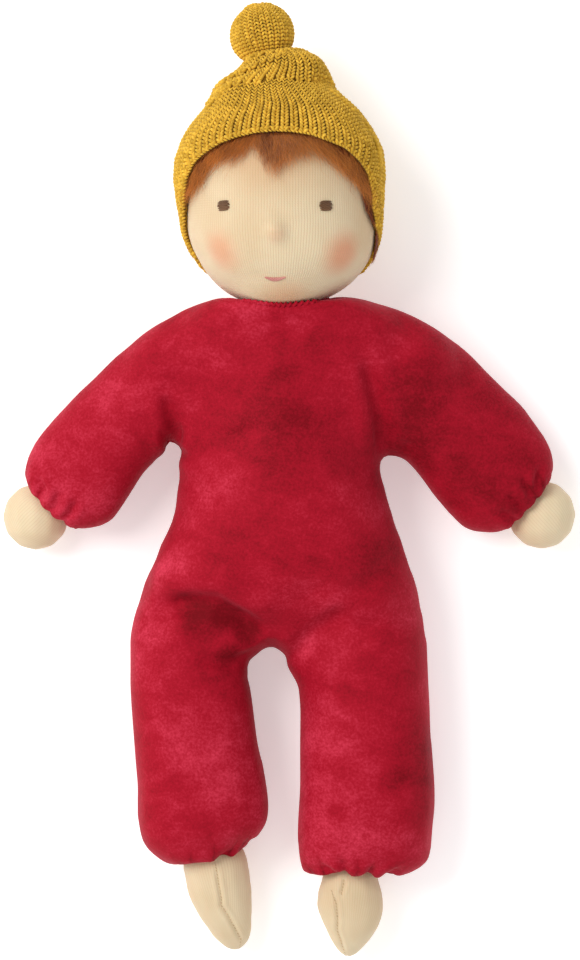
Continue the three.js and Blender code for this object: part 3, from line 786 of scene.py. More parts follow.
turns = np.radians(np.arange(-180, 180, 4))
seen = np.array(sorted(collar_seen(across) for across in range(240, 322, 5)))
turns = np.concatenate([turns[np.abs(turns) > 1.05], seen[:, 0]])
lines = np.array([collar_line(turn) for turn in turns[:-len(seen)]] + seen[:, 1:].tolist())
lines, turns = lines[np.argsort(turns)], np.sort(turns)
lines = np.stack([np.convolve(np.pad(x, 1, "wrap"), np.ones(3) / 3, "valid") for x in lines.T])
co = points_of(ruffle)
turn = np.arctan2(co[:, 0], co[:, 2] - HEAD_AXIS.z)
far = np.interp(turn, turns, lines[0], period=2 * math.pi)
up = np.interp(turn, turns, lines[1], period=2 * math.pi)
uneven = 0.7 + 0.3 * np.sin(3 * turn + 0.6)
wave = np.sin(RUFFLES * turn + 1.6 * np.sin(5 * turn)) * uneven
out = np.hypot(co[:, 0], co[:, 2] - HEAD_AXIS.z) - RING_RADIUS + (far + 0.35) * MM
out += 0.3 * MM * np.cos(RUFFLES * turn + 0.8) * uneven
co[:, 0], co[:, 2] = out * np.sin(turn), HEAD_AXIS.z + out * np.cos(turn)
co[:, 1] += (up - NECK_END) * MM + (0.45 * wave - 0.1) * MM
set_points(ruffle, co)
print("ruffle", box_of(ruffle), "collar at the front", np.round(seen[::4], 2).tolist())

# %% [markdown]
# Jersey is a fine stockinette knit. It shows as upright lines, the wales, each a chain of small Vs. An image
# could hold that pattern, but nodes need no file and stay sharp. A node group turns two counts, across and
# along the wales, into a height for the bump and a painted shade for the grooves.

# %% Jersey
def knit_group():
    group = bpy.data.node_groups.new("stockinette", "ShaderNodeTree")
    for name in ("Across", "Along"):
        group.interface.new_socket(name=name, in_out="INPUT", socket_type="NodeSocketFloat")
    for name in ("Height", "Groove"):
        group.interface.new_socket(name=name, in_out="OUTPUT", socket_type="NodeSocketFloat")
    entry = group.nodes.new("NodeGroupInput")
    leave = group.nodes.new("NodeGroupOutput")
    across = math_node(group, "FRACT", entry.outputs["Across"])
    side = math_node(group, "ABSOLUTE", math_node(group, "SUBTRACT", across, 0.5))
    lean = math_node(group, "ADD", entry.outputs["Along"], math_node(group, "MULTIPLY", side, 1.3))
    loop = math_node(group, "SINE", math_node(group, "MULTIPLY", lean, 2 * math.pi))
    wale = math_node(group, "COSINE", math_node(group, "MULTIPLY", side, math.pi))
    loops = math_node(group, "ADD", math_node(group, "MULTIPLY", loop, 0.25), 0.75)
    height = math_node(group, "MULTIPLY", wale, loops)
    groove = ramp(group, side, 0.3, 0.5)
    group.links.new(height, leave.inputs["Height"])
    group.links.new(groove, leave.inputs["Groove"])
    return group


STOCKINETTE = knit_group()
SKIN, SKIN_SHADE, BLUSH_AND_WARM_SHADE = colour("e2cfad"), colour("c39f74"), colour("dd8c68")


def jersey(name, wale, stitch, middle, facing, radius, contrast=1.0, blush_and_shade_spots=(), shades=()):
    """Skin-coloured jersey, whose wales run along an axis: through the middle, facing the given way."""
    material, tree, shader = start_material(name, Roughness=0.85, Specular_IOR_Level=0.25, Sheen_Weight=0.15,
                                            Sheen_Roughness=0.5, Subsurface_Weight=0.06, Subsurface_Scale=0.004)
    place = add_node(tree, "ShaderNodeTexCoord").outputs["Object"]
    facing = Vector(facing).normalized()
    square = Vector((facing.y, -facing.x, 0))
    shifted = add_node(tree, "ShaderNodeVectorMath", {0: place, 1: middle}, operation="SUBTRACT").outputs[0]
    sideways = add_node(tree, "ShaderNodeVectorMath", {0: shifted, 1: square}, operation="DOT_PRODUCT")
    sideways = sideways.outputs["Value"]
    rise = add_node(tree, "ShaderNodeSeparateXYZ", {0: shifted}).outputs["Z"]
    count = round(2 * math.pi * radius / wale)
    across = math_node(tree, "MULTIPLY", math_node(tree, "ARCTAN2", sideways, rise), count / (2 * math.pi))
    along = add_node(tree, "ShaderNodeVectorMath", {0: shifted, 1: facing / stitch}, operation="DOT_PRODUCT")
    along = along.outputs["Value"]
    wander = noise_at(tree, place, 120, 2)
    across = math_node(tree, "ADD", across, math_node(tree, "MULTIPLY", wander, 0.7))
    knit = add_node(tree, "ShaderNodeGroup", node_tree=STOCKINETTE)
    tree.links.new(across, knit.inputs["Across"])
    tree.links.new(along, knit.inputs["Along"])
    patch = ramp(tree, noise_at(tree, place, 35, 3), 0.35, 0.7)
    tone = mix_colour(tree, math_node(tree, "MULTIPLY", patch, 0.35), SKIN, SKIN_SHADE)
    # Blush and painted shade go on as soft spots of colour.
    for tint, spots in ((BLUSH_AND_WARM_SHADE, blush_and_shade_spots), (SKIN_SHADE, shades)):
        for spot, reach, strength in spots:
            away = add_node(tree, "ShaderNodeVectorMath", {0: place, 1: Vector(spot) * MM}, operation="DISTANCE")
            near = ramp(tree, away.outputs["Value"], 0.15 * reach * MM, reach * MM)
            near = math_node(tree, "SUBTRACT", 1.0, near)
            tone = mix_colour(tree, math_node(tree, "MULTIPLY", near, strength), tone, tint)
    # Painted shade in the grooves between the wales.
    grooves = math_node(tree, "MULTIPLY", knit.outputs["Groove"], 0.55 * contrast)
    tone = mix_colour(tree, grooves, tone, SKIN_SHADE)
    tree.links.new(tone, shader.inputs["Base Color"])
    bump = add_node(tree, "ShaderNodeBump", {"Strength": 0.6 * contrast, "Distance": 0.18 * MM,
                                             "Height": knit.outputs["Height"]})
    tree.links.new(bump.outputs["Normal"], shader.inputs["Normal"])
    return material


# Spots on the face: a place (mm), its reach and its strength. First the warm ones: crayon blush on the cheeks,
# and painted shade on the brow under the fringe, at the chin where it meets the collar, and under the nose.
# Then plain painted shade: on the brow, down the doll's left side away from the key light, and at the chin.
CHEEK_BLUSH_AND_SHADE_SPOTS = [((-23.0, 84.6, 66), 12, 0.58), ((23.6, 84.4, 65.5), 12.5, 0.75),  # the cheeks
           ((-4, 124, 72), 24, 0.2), ((2, 66, 62), 13, 0.45), ((-1.4, 90.2, 78), 5.5, 0.2)]  # brow, chin, nose
FACE_PAINTED_SHADE_SPOTS = [((-2, 126, 70), 34, 0.5), ((34, 98, 52), 24, 0.4), ((0, 66, 60), 18, 0.35)]
FACE_WALE, LIMB_WALE, STITCH = 1.07 * MM, 1.0 * MM, 0.9 * MM
head.data.materials.append(jersey("face_jersey", FACE_WALE, STITCH, HEAD_AXIS, (0, 1, 0), HEAD_RADIUS,
                                  blush_and_shade_spots=CHEEK_BLUSH_AND_SHADE_SPOTS, shades=FACE_PAINTED_SHADE_SPOTS))
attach(head, "head")
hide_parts("head_skin", "nose_nub", "head_core", "head_tube")

# %% [markdown]
# Hands and feet are small jersey bags, filled and tied where they go into the cuffs. They could be turned from
# a profile, as the head is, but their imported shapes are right, only faceted. So each is remeshed and smoothed
# into a soft form, and the feet are drawn to the outline and the seams of the photograph.

# %% Hands and feet
LIMB_ENDS = ("left_hand", "right_hand", "left_foot", "right_foot")
# For each foot, by pixels of the picture: the row of its tip, its edges at a few rows, and its seams.
FEET = {
    "right_foot": (951, [(880, 185, 250.5), (892, 186.5, 251.5), (905, 191.5, 252), (917, 197.5, 252),
                         (929, 205, 252), (938, 211, 251), (945, 218, 248)],
                   [[(215, 862), (218.8, 886), (221, 899), (221.3, 907), (228.4, 918.4), (234.8, 931),
                     (240.4, 942.4), (239, 953)]]),
    "left_foot": (957.5, [(880, 322, 378), (892, 318, 382), (905, 316.6, 383.8), (917, 319.5, 383),
                          (929, 324.5, 379), (941, 330, 371.5), (951, 336, 363)],
                  [[(331, 889), (333, 896), (336.4, 905.6), (337.7, 920), (337.4, 933), (341.2, 944), (346, 960)],
                   [(344, 878), (343.6, 885), (341, 896)]]),
}
FOOT_HEIGHT, TOP_HEIGHT = 17, 30  # over the table (mm): the feet's edges, and their upper side
HEEL, FOOT_IN_HEM = -140, (136, 146)
JERSEY_POINTS_APART = 0.8 * MM
LIMB_RADIUS = 11 * MM


def foot_row(row):
    """How far down the doll a row of the picture lies on the feet's edges (mm)."""
    return from_picture(MIDDLE_COLUMN, row, FOOT_HEIGHT)[1]


limb_ends = {}
for name in LIMB_ENDS:
    nodes = (name + "_skin", name + "_stuffing")
    obj = piece_from(copy_of(*nodes), name + "_jersey")
    remeshed(obj, JERSEY_POINTS_APART)
    keep_largest_island(obj)
    before = points_of(obj)
    smoothed(obj, 12)
    after = points_of(obj)
    grown = (before.max(0) - before.min(0)) / (after.max(0) - after.min(0))
    middle = (before.max(0) + before.min(0)) / 2
    set_points(obj, (after - (after.max(0) + after.min(0)) / 2) * grown + middle)
    if name in FEET:
        tip, rows, seams = FEET[name]
        co = points_of(obj)
        heel, end = HEEL * MM, foot_row(tip) * MM
        below = np.minimum(co[:, 1] - heel, 0)
        co[:, 1] += below * ((heel - end) / (heel - co[:, 1].min()) - 1)
        spots = [(foot_row(row), *(from_picture(edge, row, FOOT_HEIGHT)[0] for edge in edges))
                 for row, *edges in rows]
        free = eased(-co[:, 1], FOOT_IN_HEM[0] * MM, FOOT_IN_HEM[1] * MM)
        co[:, 0] += drawn_to(co[:, 1], co[:, 0], free, spots)
        set_points(obj, co)
        smoothed(obj, 3)
        subdivided(obj)
        co = points_of(obj)
        for seam in seams:
            co = creased(co, normals_of(obj), [from_picture(*spot, TOP_HEIGHT) for spot in seam], 1.1, 0.7)
        set_points(obj, co)
    obj.data.materials.append(jersey(name + "_jersey", LIMB_WALE, STITCH, Vector(middle), FACING[name],
                                     LIMB_RADIUS, 0.55))
    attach(obj, name)
    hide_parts(*nodes)
    limb_ends[name] = obj

# %% [markdown]
# Each foot has a seam down its upper side, sewn with small stitches that sink into the jersey. A painted line
# would look flat, so each stitch is a short round piece of thread, and a ray from above finds where it lies.

# %% Seams of the feet
def thread_finish(name, deep, bright):
    """Twisted thread with a slight shine: fine slanting lines on each strand."""
    material, tree, shader = start_material(name, Roughness=0.5, Specular_IOR_Level=0.4, Sheen_Weight=0.1)
    place = add_node(tree, "ShaderNodeTexCoord").outputs["Object"]
    own = add_node(tree, "ShaderNodeAttribute", attribute_name="shade").outputs["Fac"]
    twist = add_node(tree, "ShaderNodeVectorMath", {0: place, 1: (1900, 2600, 900)}, operation="DOT_PRODUCT")
    twist = twist.outputs["Value"]
    wave = math_node(tree, "SINE", math_node(tree, "MULTIPLY", twist, 3.0))
    strands = math_node(tree, "ADD", math_node(tree, "MULTIPLY", wave, 0.5), 0.5)
    level = math_node(tree, "ADD", math_node(tree, "MULTIPLY", own, 0.4), math_node(tree, "MULTIPLY", strands, 0.4))
    fibres = math_node(tree, "MULTIPLY", noise_at(tree, place, 3000, 2), 0.3)
    level = math_node(tree, "ADD", level, fibres, clamp=True)
    tree.links.new(mix_colour(tree, level, deep, bright), shader.inputs["Base Color"])
    bump = add_node(tree, "ShaderNodeBump", {"Strength": 0.5, "Distance": 0.1 * MM, "Height": strands})
    tree.links.new(bump.outputs["Normal"], shader.inputs["Normal"])
    return material


def laid_on(tree, path, pitch, long, wide, slant):
    """Frames of short stitches along a path of places (mm), on what lies under it from above."""
    path = np.array(path)
    far = np.concatenate([[0], np.cumsum(np.linalg.norm(np.diff(path, axis=0), axis=1))])
    frames = []
    for at in np.arange(pitch, far[-1], pitch):
        spot, ahead = (np.array([np.interp(at + step, far, path[:, i]) for i in (0, 1)]) for step in (0, 0.2))
        place, outward, _, _ = tree.ray_cast(Vector((*spot, 200)) * MM, Vector((0, 0, -1)))
        if place is None:
            continue
        lean = math.atan2(*(ahead - spot)[::-1]) + math.radians(slant)
        along = Vector((math.cos(lean), math.sin(lean), 0))
        along = (along - outward * along.dot(outward)).normalized()
        square = outward.cross(along)
        frames.append(np.stack([along * long * MM, square * wide * MM, outward * wide * MM, place], axis=-1))
    return np.array(frames)


SEAM_STITCH = 1.25, 0.62, 0.2, 16  # apart, half long, half wide (mm), and their slant in degrees
SEAM_THREAD = thread_finish("seam_thread", colour("a98a66"), colour("d8bd95"))
for name, (_, _, seams) in FEET.items():
    foot_tree = BVHTree.FromObject(limb_ends[name], bpy.context.evaluated_depsgraph_get())
    frames = np.concatenate([laid_on(foot_tree, [from_picture(*spot, TOP_HEIGHT) for spot in seam], *SEAM_STITCH)
                             for seam in seams])
    shape = bmesh.new()
    bmesh.ops.create_uvsphere(shape, u_segments=8, v_segments=6, radius=1)
    seam = repeated(shape, frames, f"{name}_seam", chance.random(len(frames)), SEAM_THREAD)
    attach(seam, name)

# %% [markdown]
# The cap is knitted in one-and-one rib, drawn together at the crown. It could be modelled as one smooth bag, but
# then its stitches would have to be fitted to it by eye. So one function gives the place of any point of the
# cap, by its turn about the head and its height, and the shell, the ribs and the stitches all use it.

# %% The cap's form
# Rows of the picture with the cap's two edges, and spots along the inner edge of its rim, from ear to ear.
CAP_EDGES = [(60, 241, 325), (70, 235, 331), (80, 221, 335), (90, 211, 339), (100, 206, 350), (110, 200, 362),
             (120, 191, 369), (130, 184, 376), (140, 178, 381), (150, 175, 386), (160, 171, 387), (170, 171, 388),
             (180, 170, 388), (190, 172, 387), (200, 173, 387), (210, 175, 386), (220, 177, 386), (230, 178, 385),
             (240, 181, 384), (250, 186, 380), (260, 192, 376), (270, 200, 368), (276, 206, 362)]
RIM_SEEN = [(196, 264), (190, 245), (187.6, 229), (186.8, 212.5), (186.8, 196), (189, 177), (195, 163.5),
            (206, 152.6), (219.5, 144.4), (236, 138), (255, 134), (274, 132), (293, 133), (312, 136),
            (328.5, 141.7), (344.8, 148.5), (358.5, 160.8), (366.6, 174.4), (369.9, 190.7), (371.3, 207),
            (373.4, 226), (374.8, 240), (372.5, 253.4), (368, 264)]
EDGE_HEIGHT = 41
STAND_OUT = 1.0
# The closed top, as heights, radii and middles (mm).
CAP_TOP = [(161.0, 11.6, 1.0), (162.4, 7.6, 1.0), (163.2, 3.0, 1.0)]
CAP_LOW, CAP_HIGH, CAP_ROWS = 77, 163, 345
rows = sorted([from_picture(MIDDLE_COLUMN, row, EDGE_HEIGHT)[1],
               *(from_picture(edge, row, EDGE_HEIGHT)[0] for edge in edges)] for row, *edges in CAP_EDGES)
rows = np.array([(y, (high - low) / 2 - STAND_OUT, (high + low) / 2) for y, low, high in rows] + CAP_TOP)
ups = np.linspace(CAP_LOW, CAP_HIGH, CAP_ROWS)
radii = np.interp(ups, rows[:, 0], rows[:, 1])
middles = np.interp(ups, rows[:, 0], rows[:, 2])
for _ in range(60):
    radii[1:-1] = (radii[:-2] + 2 * radii[1:-1] + radii[2:]) / 4
    middles[1:-1] = (middles[:-2] + 2 * middles[1:-1] + middles[2:]) / 4
walk = np.concatenate([[0], np.cumsum(np.hypot(np.diff(ups), np.diff(radii)))])


def bell(value, middle, width):
    return np.exp(-(((value - middle) / width) ** 2))


def cap_folds(turn, up):
    """The crown's folds: a lobe with a dent under it on the right, and a rolled edge across the front left."""
    degrees = np.degrees((turn + math.pi) % (2 * math.pi) - math.pi)
    lobe = 1.5 * bell(degrees, 42, 24) * bell(up, 157.0, 3.4) - 1.7 * bell(degrees, 48, 24) * bell(up, 149.0, 2.8)
    left = 1.2 * bell(degrees, -42, 24) * bell(up, 149.5, 3.4)
    edge = np.interp(degrees, (-110, -75, -28, 10, 60, 100), (145.5, 149.6, 156.6, 160.8, 158, 153))
    strength = bell(degrees, -45, 48)
    roll = strength * (1.3 * bell(up, edge, 1.3) - 0.9 * bell(up, edge - 3.0, 1.3))
    return lobe + left + roll


def cap_points(turn, along, out=0.0):
    """Places on the cap, by their turn from the front, distance up the knit, and how far they stand out."""
    up = np.interp(along, walk, ups)
    radius = np.interp(along, walk, radii) + cap_folds(turn, up) + out
    x, z = np.interp(up, ups, middles) + radius * np.sin(turn), AXIS_HEIGHT + radius * np.cos(turn)
    return np.stack([x, up + 0 * x, np.maximum(z, 0.4 - 0.3 * out)], axis=-1) * MM


def rim_from_picture():
    """Turn and height of the rim, from the spots at which the picture shows it."""
    degrees, heights = np.meshgrid(np.arange(-90, 90.5, 0.5), np.arange(80, 134, 0.25))
    turns = np.radians(degrees)
    radius = np.interp(heights, ups, radii) - 1.0 - 1.4 * np.sin(turns) ** 2
    x, z = np.interp(heights, ups, middles) + radius * np.sin(turns), AXIS_HEIGHT + radius * np.cos(turns)
    share = (camera_height / MM - z) / (camera_height / MM - SCALE_HEIGHT) * PIXEL / MM
    across = MIDDLE_COLUMN + (x - view_centre.x / MM) / share
    down = MIDDLE_ROW - (heights - view_centre.y / MM) / share
    found = []
    for spot in RIM_SEEN:
        best = np.argmin((across - spot[0]) ** 2 + (down - spot[1]) ** 2)
        found.append((float(degrees.flat[best]), float(heights.flat[best] + 1.1 * np.cos(turns.flat[best]))))
    return found


RIM_BEHIND = 79.0
RIM = [(-181, RIM_BEHIND), (-100, RIM_BEHIND), *sorted(rim_from_picture()), (100, RIM_BEHIND), (181, RIM_BEHIND)]
print("rim", RIM[2::4])


def rim_height(turn):
    degrees = np.degrees((turn + math.pi) % (2 * math.pi) - math.pi)
    return np.interp(degrees, *np.array(RIM).T)


# %% [markdown]
# Knitting grows from the rim: its columns leave the rim at a right angle and run up to the crown. Straight lines
# up the cap would meet its slanting rim at a wrong angle. So a column is a smooth curve on the unrolled cap,
# from its share of the rim's length to the same share of the crown's ring.

# %% Columns of the knit
RIBS = 74
UNROLLED = 41.0
rim_turns = np.linspace(0, 2 * math.pi, 721)
rim_starts = np.interp(rim_height(rim_turns), ups, walk)
rim_places = cap_points(rim_turns, rim_starts) / MM
rim_length = np.concatenate([[0], np.cumsum(np.linalg.norm(np.diff(rim_places, axis=0), axis=1))])
across_rim = np.gradient(rim_turns * UNROLLED, rim_length)
along_rim = np.gradient(rim_starts, rim_length)
blur = np.ones(61) / 61
across_rim, along_rim = (np.convolve(np.tile(x[:-1], 3), blur, "same")[720:1441] for x in (across_rim, along_rim))


def knit_column(part, spots):
    """Turn and distance up the knit at the given distances from the rim, on the column at a part of the rim."""
    at = part * rim_length[-1]
    begin = np.array([np.interp(at, rim_length, rim_turns) * UNROLLED, np.interp(at, rim_length, rim_starts)])
    square = np.array([-np.interp(at, rim_length, along_rim), np.interp(at, rim_length, across_rim)])
    finish = np.array([2 * math.pi * part * UNROLLED, walk[-1] - 0.3])
    reach = finish[1] - begin[1]
    second = begin + square / np.linalg.norm(square) * min(15.0, 0.33 * reach)
    third = finish - np.array([0, 0.5 * reach])
    t = np.linspace(0, 1, 80)[:, None]
    curve = begin * (1 - t) ** 3 + second * 3 * t * (1 - t) ** 2 + third * 3 * t * t * (1 - t) + finish * t ** 3
    places = cap_points(curve[:, 0] / UNROLLED, curve[:, 1]) / MM
    far = np.concatenate([[0], np.cumsum(np.linalg.norm(np.diff(places, axis=0), axis=1))])
    spots = far[-1] * np.asarray(spots) if np.max(spots) <= 1 else np.asarray(spots)
    spots = spots[spots <= far[-1] + 1e-9]
    return np.interp(spots, far, curve[:, 0]) / UNROLLED, np.interp(spots, far, curve[:, 1])


print("rim", round(rim_length[-1], 1), "mm round, rib pitch", round(rim_length[-1] / RIBS, 2))

# %% [markdown]
# Under the stitches lies a plain shell, the inside of the knit. A ball would do from outside, but the cap is
# open at its rim. So the shell starts as a grid that is rolled round the head, gets ridges under the ribs, and
# is given its wall by Solidify. Only its valleys show, so it wears a darker copy of the yarn: painted shade
# for the deep valleys between the ribs.

# %% The cap's shell
def wool_yarn(name, deep, bright):
    """Dyed wool. Each stitch carries its own shade, and fine noise breaks the yarn into fibres."""
    material, tree, shader = start_material(name, Roughness=0.85, Specular_IOR_Level=0.15, Sheen_Weight=0.15,
                                            Sheen_Roughness=0.5, Sheen_Tint=(1.0, 0.88, 0.55, 1))
    place = add_node(tree, "ShaderNodeTexCoord").outputs["Object"]
    own = add_node(tree, "ShaderNodeAttribute", attribute_name="shade").outputs["Fac"]
    fibres = noise_at(tree, place, 2600, 3, 0.7)
    drift = noise_at(tree, place, 90, 2)
    level = math_node(tree, "ADD", math_node(tree, "MULTIPLY", own, 0.45), math_node(tree, "MULTIPLY", fibres, 0.35))
    level = math_node(tree, "ADD", level, math_node(tree, "MULTIPLY", drift, 0.3), clamp=True)
    tree.links.new(mix_colour(tree, level, deep, bright), shader.inputs["Base Color"])
    bump = add_node(tree, "ShaderNodeBump", {"Strength": 0.5, "Distance": 0.2 * MM, "Height": fibres})
    tree.links.new(bump.outputs["Normal"], shader.inputs["Normal"])
    return material


MUSTARD = wool_yarn("mustard_wool", colour("9c7212"), colour("fbcb48"))
# A darker copy of the same yarn is painted shade: the cap's deep valleys, the ball under the bobble's stitches and
# the bobble's tie wear it.
MUSTARD_PAINTED_SHADE = wool_yarn("mustard_wool_painted_shade", colour("765410"), colour("a87e1e"))

SHELL_STEPS = 70
cap_work = bmesh.new()
bmesh.ops.create_grid(cap_work, x_segments=RIBS * 2, y_segments=SHELL_STEPS, size=0.5)
shares = np.linspace(0, 1, SHELL_STEPS + 1)
lines = [knit_column(k / (RIBS * 2), shares) for k in range(RIBS * 2 + 1)]
for v in cap_work.verts:
    k, i = round((v.co.x + 0.5) * RIBS * 2), round((v.co.y + 0.5) * SHELL_STEPS)
    turn, along = lines[k][0][i], lines[k][1][i]
    v.co = cap_points(np.array([turn]), np.array([along]), -1.9 if k % 2 == 0 else -1.2)[0]
bmesh.ops.remove_doubles(cap_work, verts=cap_work.verts, dist=0.005 * MM)
bmesh.ops.recalc_face_normals(cap_work, faces=cap_work.faces)
cap = piece_from(cap_work, "cap_knit")
wall = cap.modifiers.new("Wall", "SOLIDIFY")
wall.thickness = 1.0 * MM
wall.offset = -1
settle_modifiers(cap)
cap.data.materials.append(MUSTARD_PAINTED_SHADE)
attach(cap, "hat")
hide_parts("cap")
print("cap", box_of(cap))

# %% [markdown]
# A knitted stitch is a V of two fat legs of yarn. Bump could draw such Vs, but the rim and the outline of the
# cap would stay smooth. So one leg is a small ball, drawn long, and thousands of copies of it stand in columns,
# two to a stitch. A helper makes such copies as one mesh, each with its own shade.

# %% Stitches on the cap
def yarn_leg():
    leg = bmesh.new()
    bmesh.ops.create_uvsphere(leg, u_segments=5, v_segments=4, radius=1)
    return leg


def unit(v):
    return v / np.maximum(np.linalg.norm(v, axis=-1, keepdims=True), 1e-12)


def v_stitches(middle, across, upward, width, pitch, chance):
    """Two frames for each stitch: its legs lean out from the foot of the V."""
    outward = unit(np.cross(across, upward))
    frames, shades = [], []
    for hand in (-1, 1):
        lean = unit(upward + hand * 0.70 * across)
        square = unit(np.cross(outward, lean))
        spot = middle + across * (hand * 0.25 * width)[:, None]
        size = chance.uniform(0.9, 1.1, len(middle))
        high = outward + 0.35 * hand * across
        frame = np.stack([square * (0.24 * width * size)[:, None], lean * (0.74 * pitch)[:, None],
                          high * (0.40 * width * size)[:, None], spot], axis=-1)
        frames.append(frame)
        shades.append(chance.random(len(middle)))
    return np.concatenate(frames), np.concatenate(shades)


ROW = 1.5
middle, across, upward, widths = [], [], [], []
for j in range(RIBS):
    spots = np.arange(0.5, 200, ROW)
    turns, alongs = knit_column((j + 0.5) / RIBS, spots)
    beside = knit_column((j + (1.5 if j < RIBS - 1 else -0.5)) / RIBS, spots)
    count = min(len(turns), len(beside[0])) - 1
    turns, alongs = turns[:count + 1], alongs[:count + 1]
    places = cap_points(turns, alongs, -0.75)
    ahead = unit(np.diff(places, axis=0))
    places, turns, alongs = places[:-1], turns[:-1], alongs[:-1]
    outward = unit(np.cross(cap_points(turns + 0.01, alongs) - cap_points(turns - 0.01, alongs),
                            cap_points(turns, alongs + 0.3) - cap_points(turns, alongs - 0.3)))
    sideways = unit(np.cross(ahead, outward))
    gap = cap_points(beside[0][:count], beside[1][:count], -0.75) - places
    pitch = np.abs(np.einsum("ij,ij->i", gap, sideways)) / MM
    keep = pitch > (0.5, 1.9, 0.95, 1.9)[j % 4]
    crowd = np.where(pitch <= 1.9, 2.0, 1.0) * np.where(pitch <= 0.95, 2.0, 1.0)
    middle.append(places[keep])
    across.append(sideways[keep])
    upward.append(ahead[keep])
    widths.append(np.minimum(pitch * crowd, 4.0)[keep] * 0.80)
# A chain of stitches lies along the rim, where the knitter cast on.
chain = np.arange(0.5, rim_length[-1], ROW)
chain_turns, chain_rise = np.interp(chain, rim_length, rim_turns), np.interp(chain, rim_length, rim_starts)
middle.append(cap_points(chain_turns, chain_rise + 0.25, -1.1))
upward.append(unit(np.gradient(middle[-1], axis=0)))
outward = unit(np.cross(cap_points(chain_turns + 0.01, chain_rise) - cap_points(chain_turns - 0.01, chain_rise),
                        cap_points(chain_turns, chain_rise + 0.3) - cap_points(chain_turns, chain_rise - 0.3)))
across.append(unit(np.cross(upward[-1], outward)))
widths.append(np.full(len(chain), 2.0))
middle, across, upward, widths = (np.concatenate(x) for x in (middle, across, upward, widths))
front = middle[:, 2] > AXIS_HEIGHT * MM
for name, chosen in (("cap_front_stitches", front), ("cap_back_stitches", ~front)):
    frames, shades = v_stitches(middle[chosen], across[chosen], upward[chosen], widths[chosen] * MM,
                                np.full(chosen.sum(), 1.12 * ROW * MM), chance)
    stitches = repeated(yarn_leg(), frames, name, shades, MUSTARD)
    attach(stitches, "hat")

# %% [markdown]
# The bobble is a knitted bag, stuffed and sewn on. Its columns of stitches run from the sewn end over the ball
# to the far end, and some stop short of the ends, where the knitter takes stitches together. Strands of pile
# would make a bobble of another kind. So the cap's own stitches are used again, laid on a ball.

# %% The bobble
BOBBLE = np.array((-6.6, 168.6, 37.5)) * MM
BOBBLE_RADIUS = 11.9
BOBBLE_AXIS = Vector((-0.18, 0.97, -0.1)).normalized()
COLUMNS = 30
bobble_work = bmesh.new()
bmesh.ops.create_uvsphere(bobble_work, u_segments=48, v_segments=32, radius=(BOBBLE_RADIUS - 1.25) * MM,
                          matrix=Matrix.Translation(Vector(BOBBLE)))
# The ball under the stitches wears the darker copy of the yarn, painted shade between the stitches.
bobble = piece_from(bobble_work, "bobble_knit", MUSTARD_PAINTED_SHADE)
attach(bobble, "bobble")
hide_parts("bobble_cover", "bobble_stuffing")


def ball_points(turn, tilt, out=0.0):
    """Places on the ball, by turn about its axis and tilt from the sewn end."""
    radius = BOBBLE_RADIUS + out + 0.25 * np.sin(3 * turn + 2 * tilt)
    side = BOBBLE_AXIS.orthogonal().normalized()
    square = BOBBLE_AXIS.cross(side)
    flat = np.outer(np.cos(turn), side) + np.outer(np.sin(turn), square)
    return BOBBLE + (flat * np.sin(tilt)[:, None] - np.outer(np.cos(tilt), BOBBLE_AXIS)) * (radius * MM)[:, None]


rows = np.arange(0.12, math.pi - 0.1, 1.4 / BOBBLE_RADIUS)
turns, tilts, widths = [], [], []
for j in range(COLUMNS):
    ring = np.sin(rows)
    keep = ring > (0.0, 0.5, 0.25, 0.5)[j % 4]
    crowd = np.where(ring <= 0.5, 2.0, 1.0) * np.where(ring <= 0.25, 1.6, 1.0)
    turns.append(np.full(keep.sum(), 2 * math.pi * j / COLUMNS))
    tilts.append(rows[keep])
    widths.append(np.minimum(2 * math.pi * BOBBLE_RADIUS * ring / COLUMNS * crowd, 2.3)[keep])
turns, tilts, widths = (np.concatenate(x) for x in (turns, tilts, widths))
middle = ball_points(turns, tilts, -0.4)
across = unit(ball_points(turns + 0.01, tilts) - ball_points(turns - 0.01, tilts))
upward = unit(ball_points(turns, tilts + 0.02) - ball_points(turns, tilts - 0.02))
if np.mean(np.einsum("ij,ij->i", np.cross(across, upward), middle - BOBBLE)) < 0:
    across = -across
frames, shades = v_stitches(middle, across, upward, widths * MM, np.full(len(middle), 1.5 * MM), chance)
stitches = repeated(yarn_leg(), frames, "bobble_stitches", shades, MUSTARD)
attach(stitches, "bobble")

# %% [markdown]
# The wig is mohair sewn on a woven base. The base could be left out, since the cap hides most of it, but the cap
# can be lifted off. So the head's own profile is turned once more, a little way out, and cut off along a line
# just above the hairline.

# %% The wig's base
outline = np.array(head_outline(0))[:-4] / MM  # without the four points at the neck
down = np.concatenate([[0], np.cumsum(np.hypot(*np.diff(outline, axis=0).T))])


def head_points(turn, way, out):
    """Places over the head, by turn from the front, way down from the crown and distance out (mm)."""
    radius, up = np.interp(way, down, outline[:, 0]), np.interp(way, down, outline[:, 1])
    ahead = unit(np.stack([np.interp(way + 0.5, down, part) - np.interp(way - 0.5, down, part)
                           for part in outline.T], axis=-1))
    radius, up = radius - ahead[..., 1] * out, up + ahead[..., 0] * out
    up = NECK_END + up
    return np.stack([face_lean(up) + radius * np.sin(turn), up, AXIS_HEIGHT + radius * np.cos(turn)], axis=-1) * MM


def way_to(height):
    """Way down from the crown at which the head's surface has a height over the floor of the frame (mm)."""
    return np.interp(-(np.asarray(height) - NECK_END), -outline[:, 1], down)


def hair_edge(turn):
    """Height of the hairline at a turn: just under the cap, all the way round."""
    return rim_height(turn) + 1.5


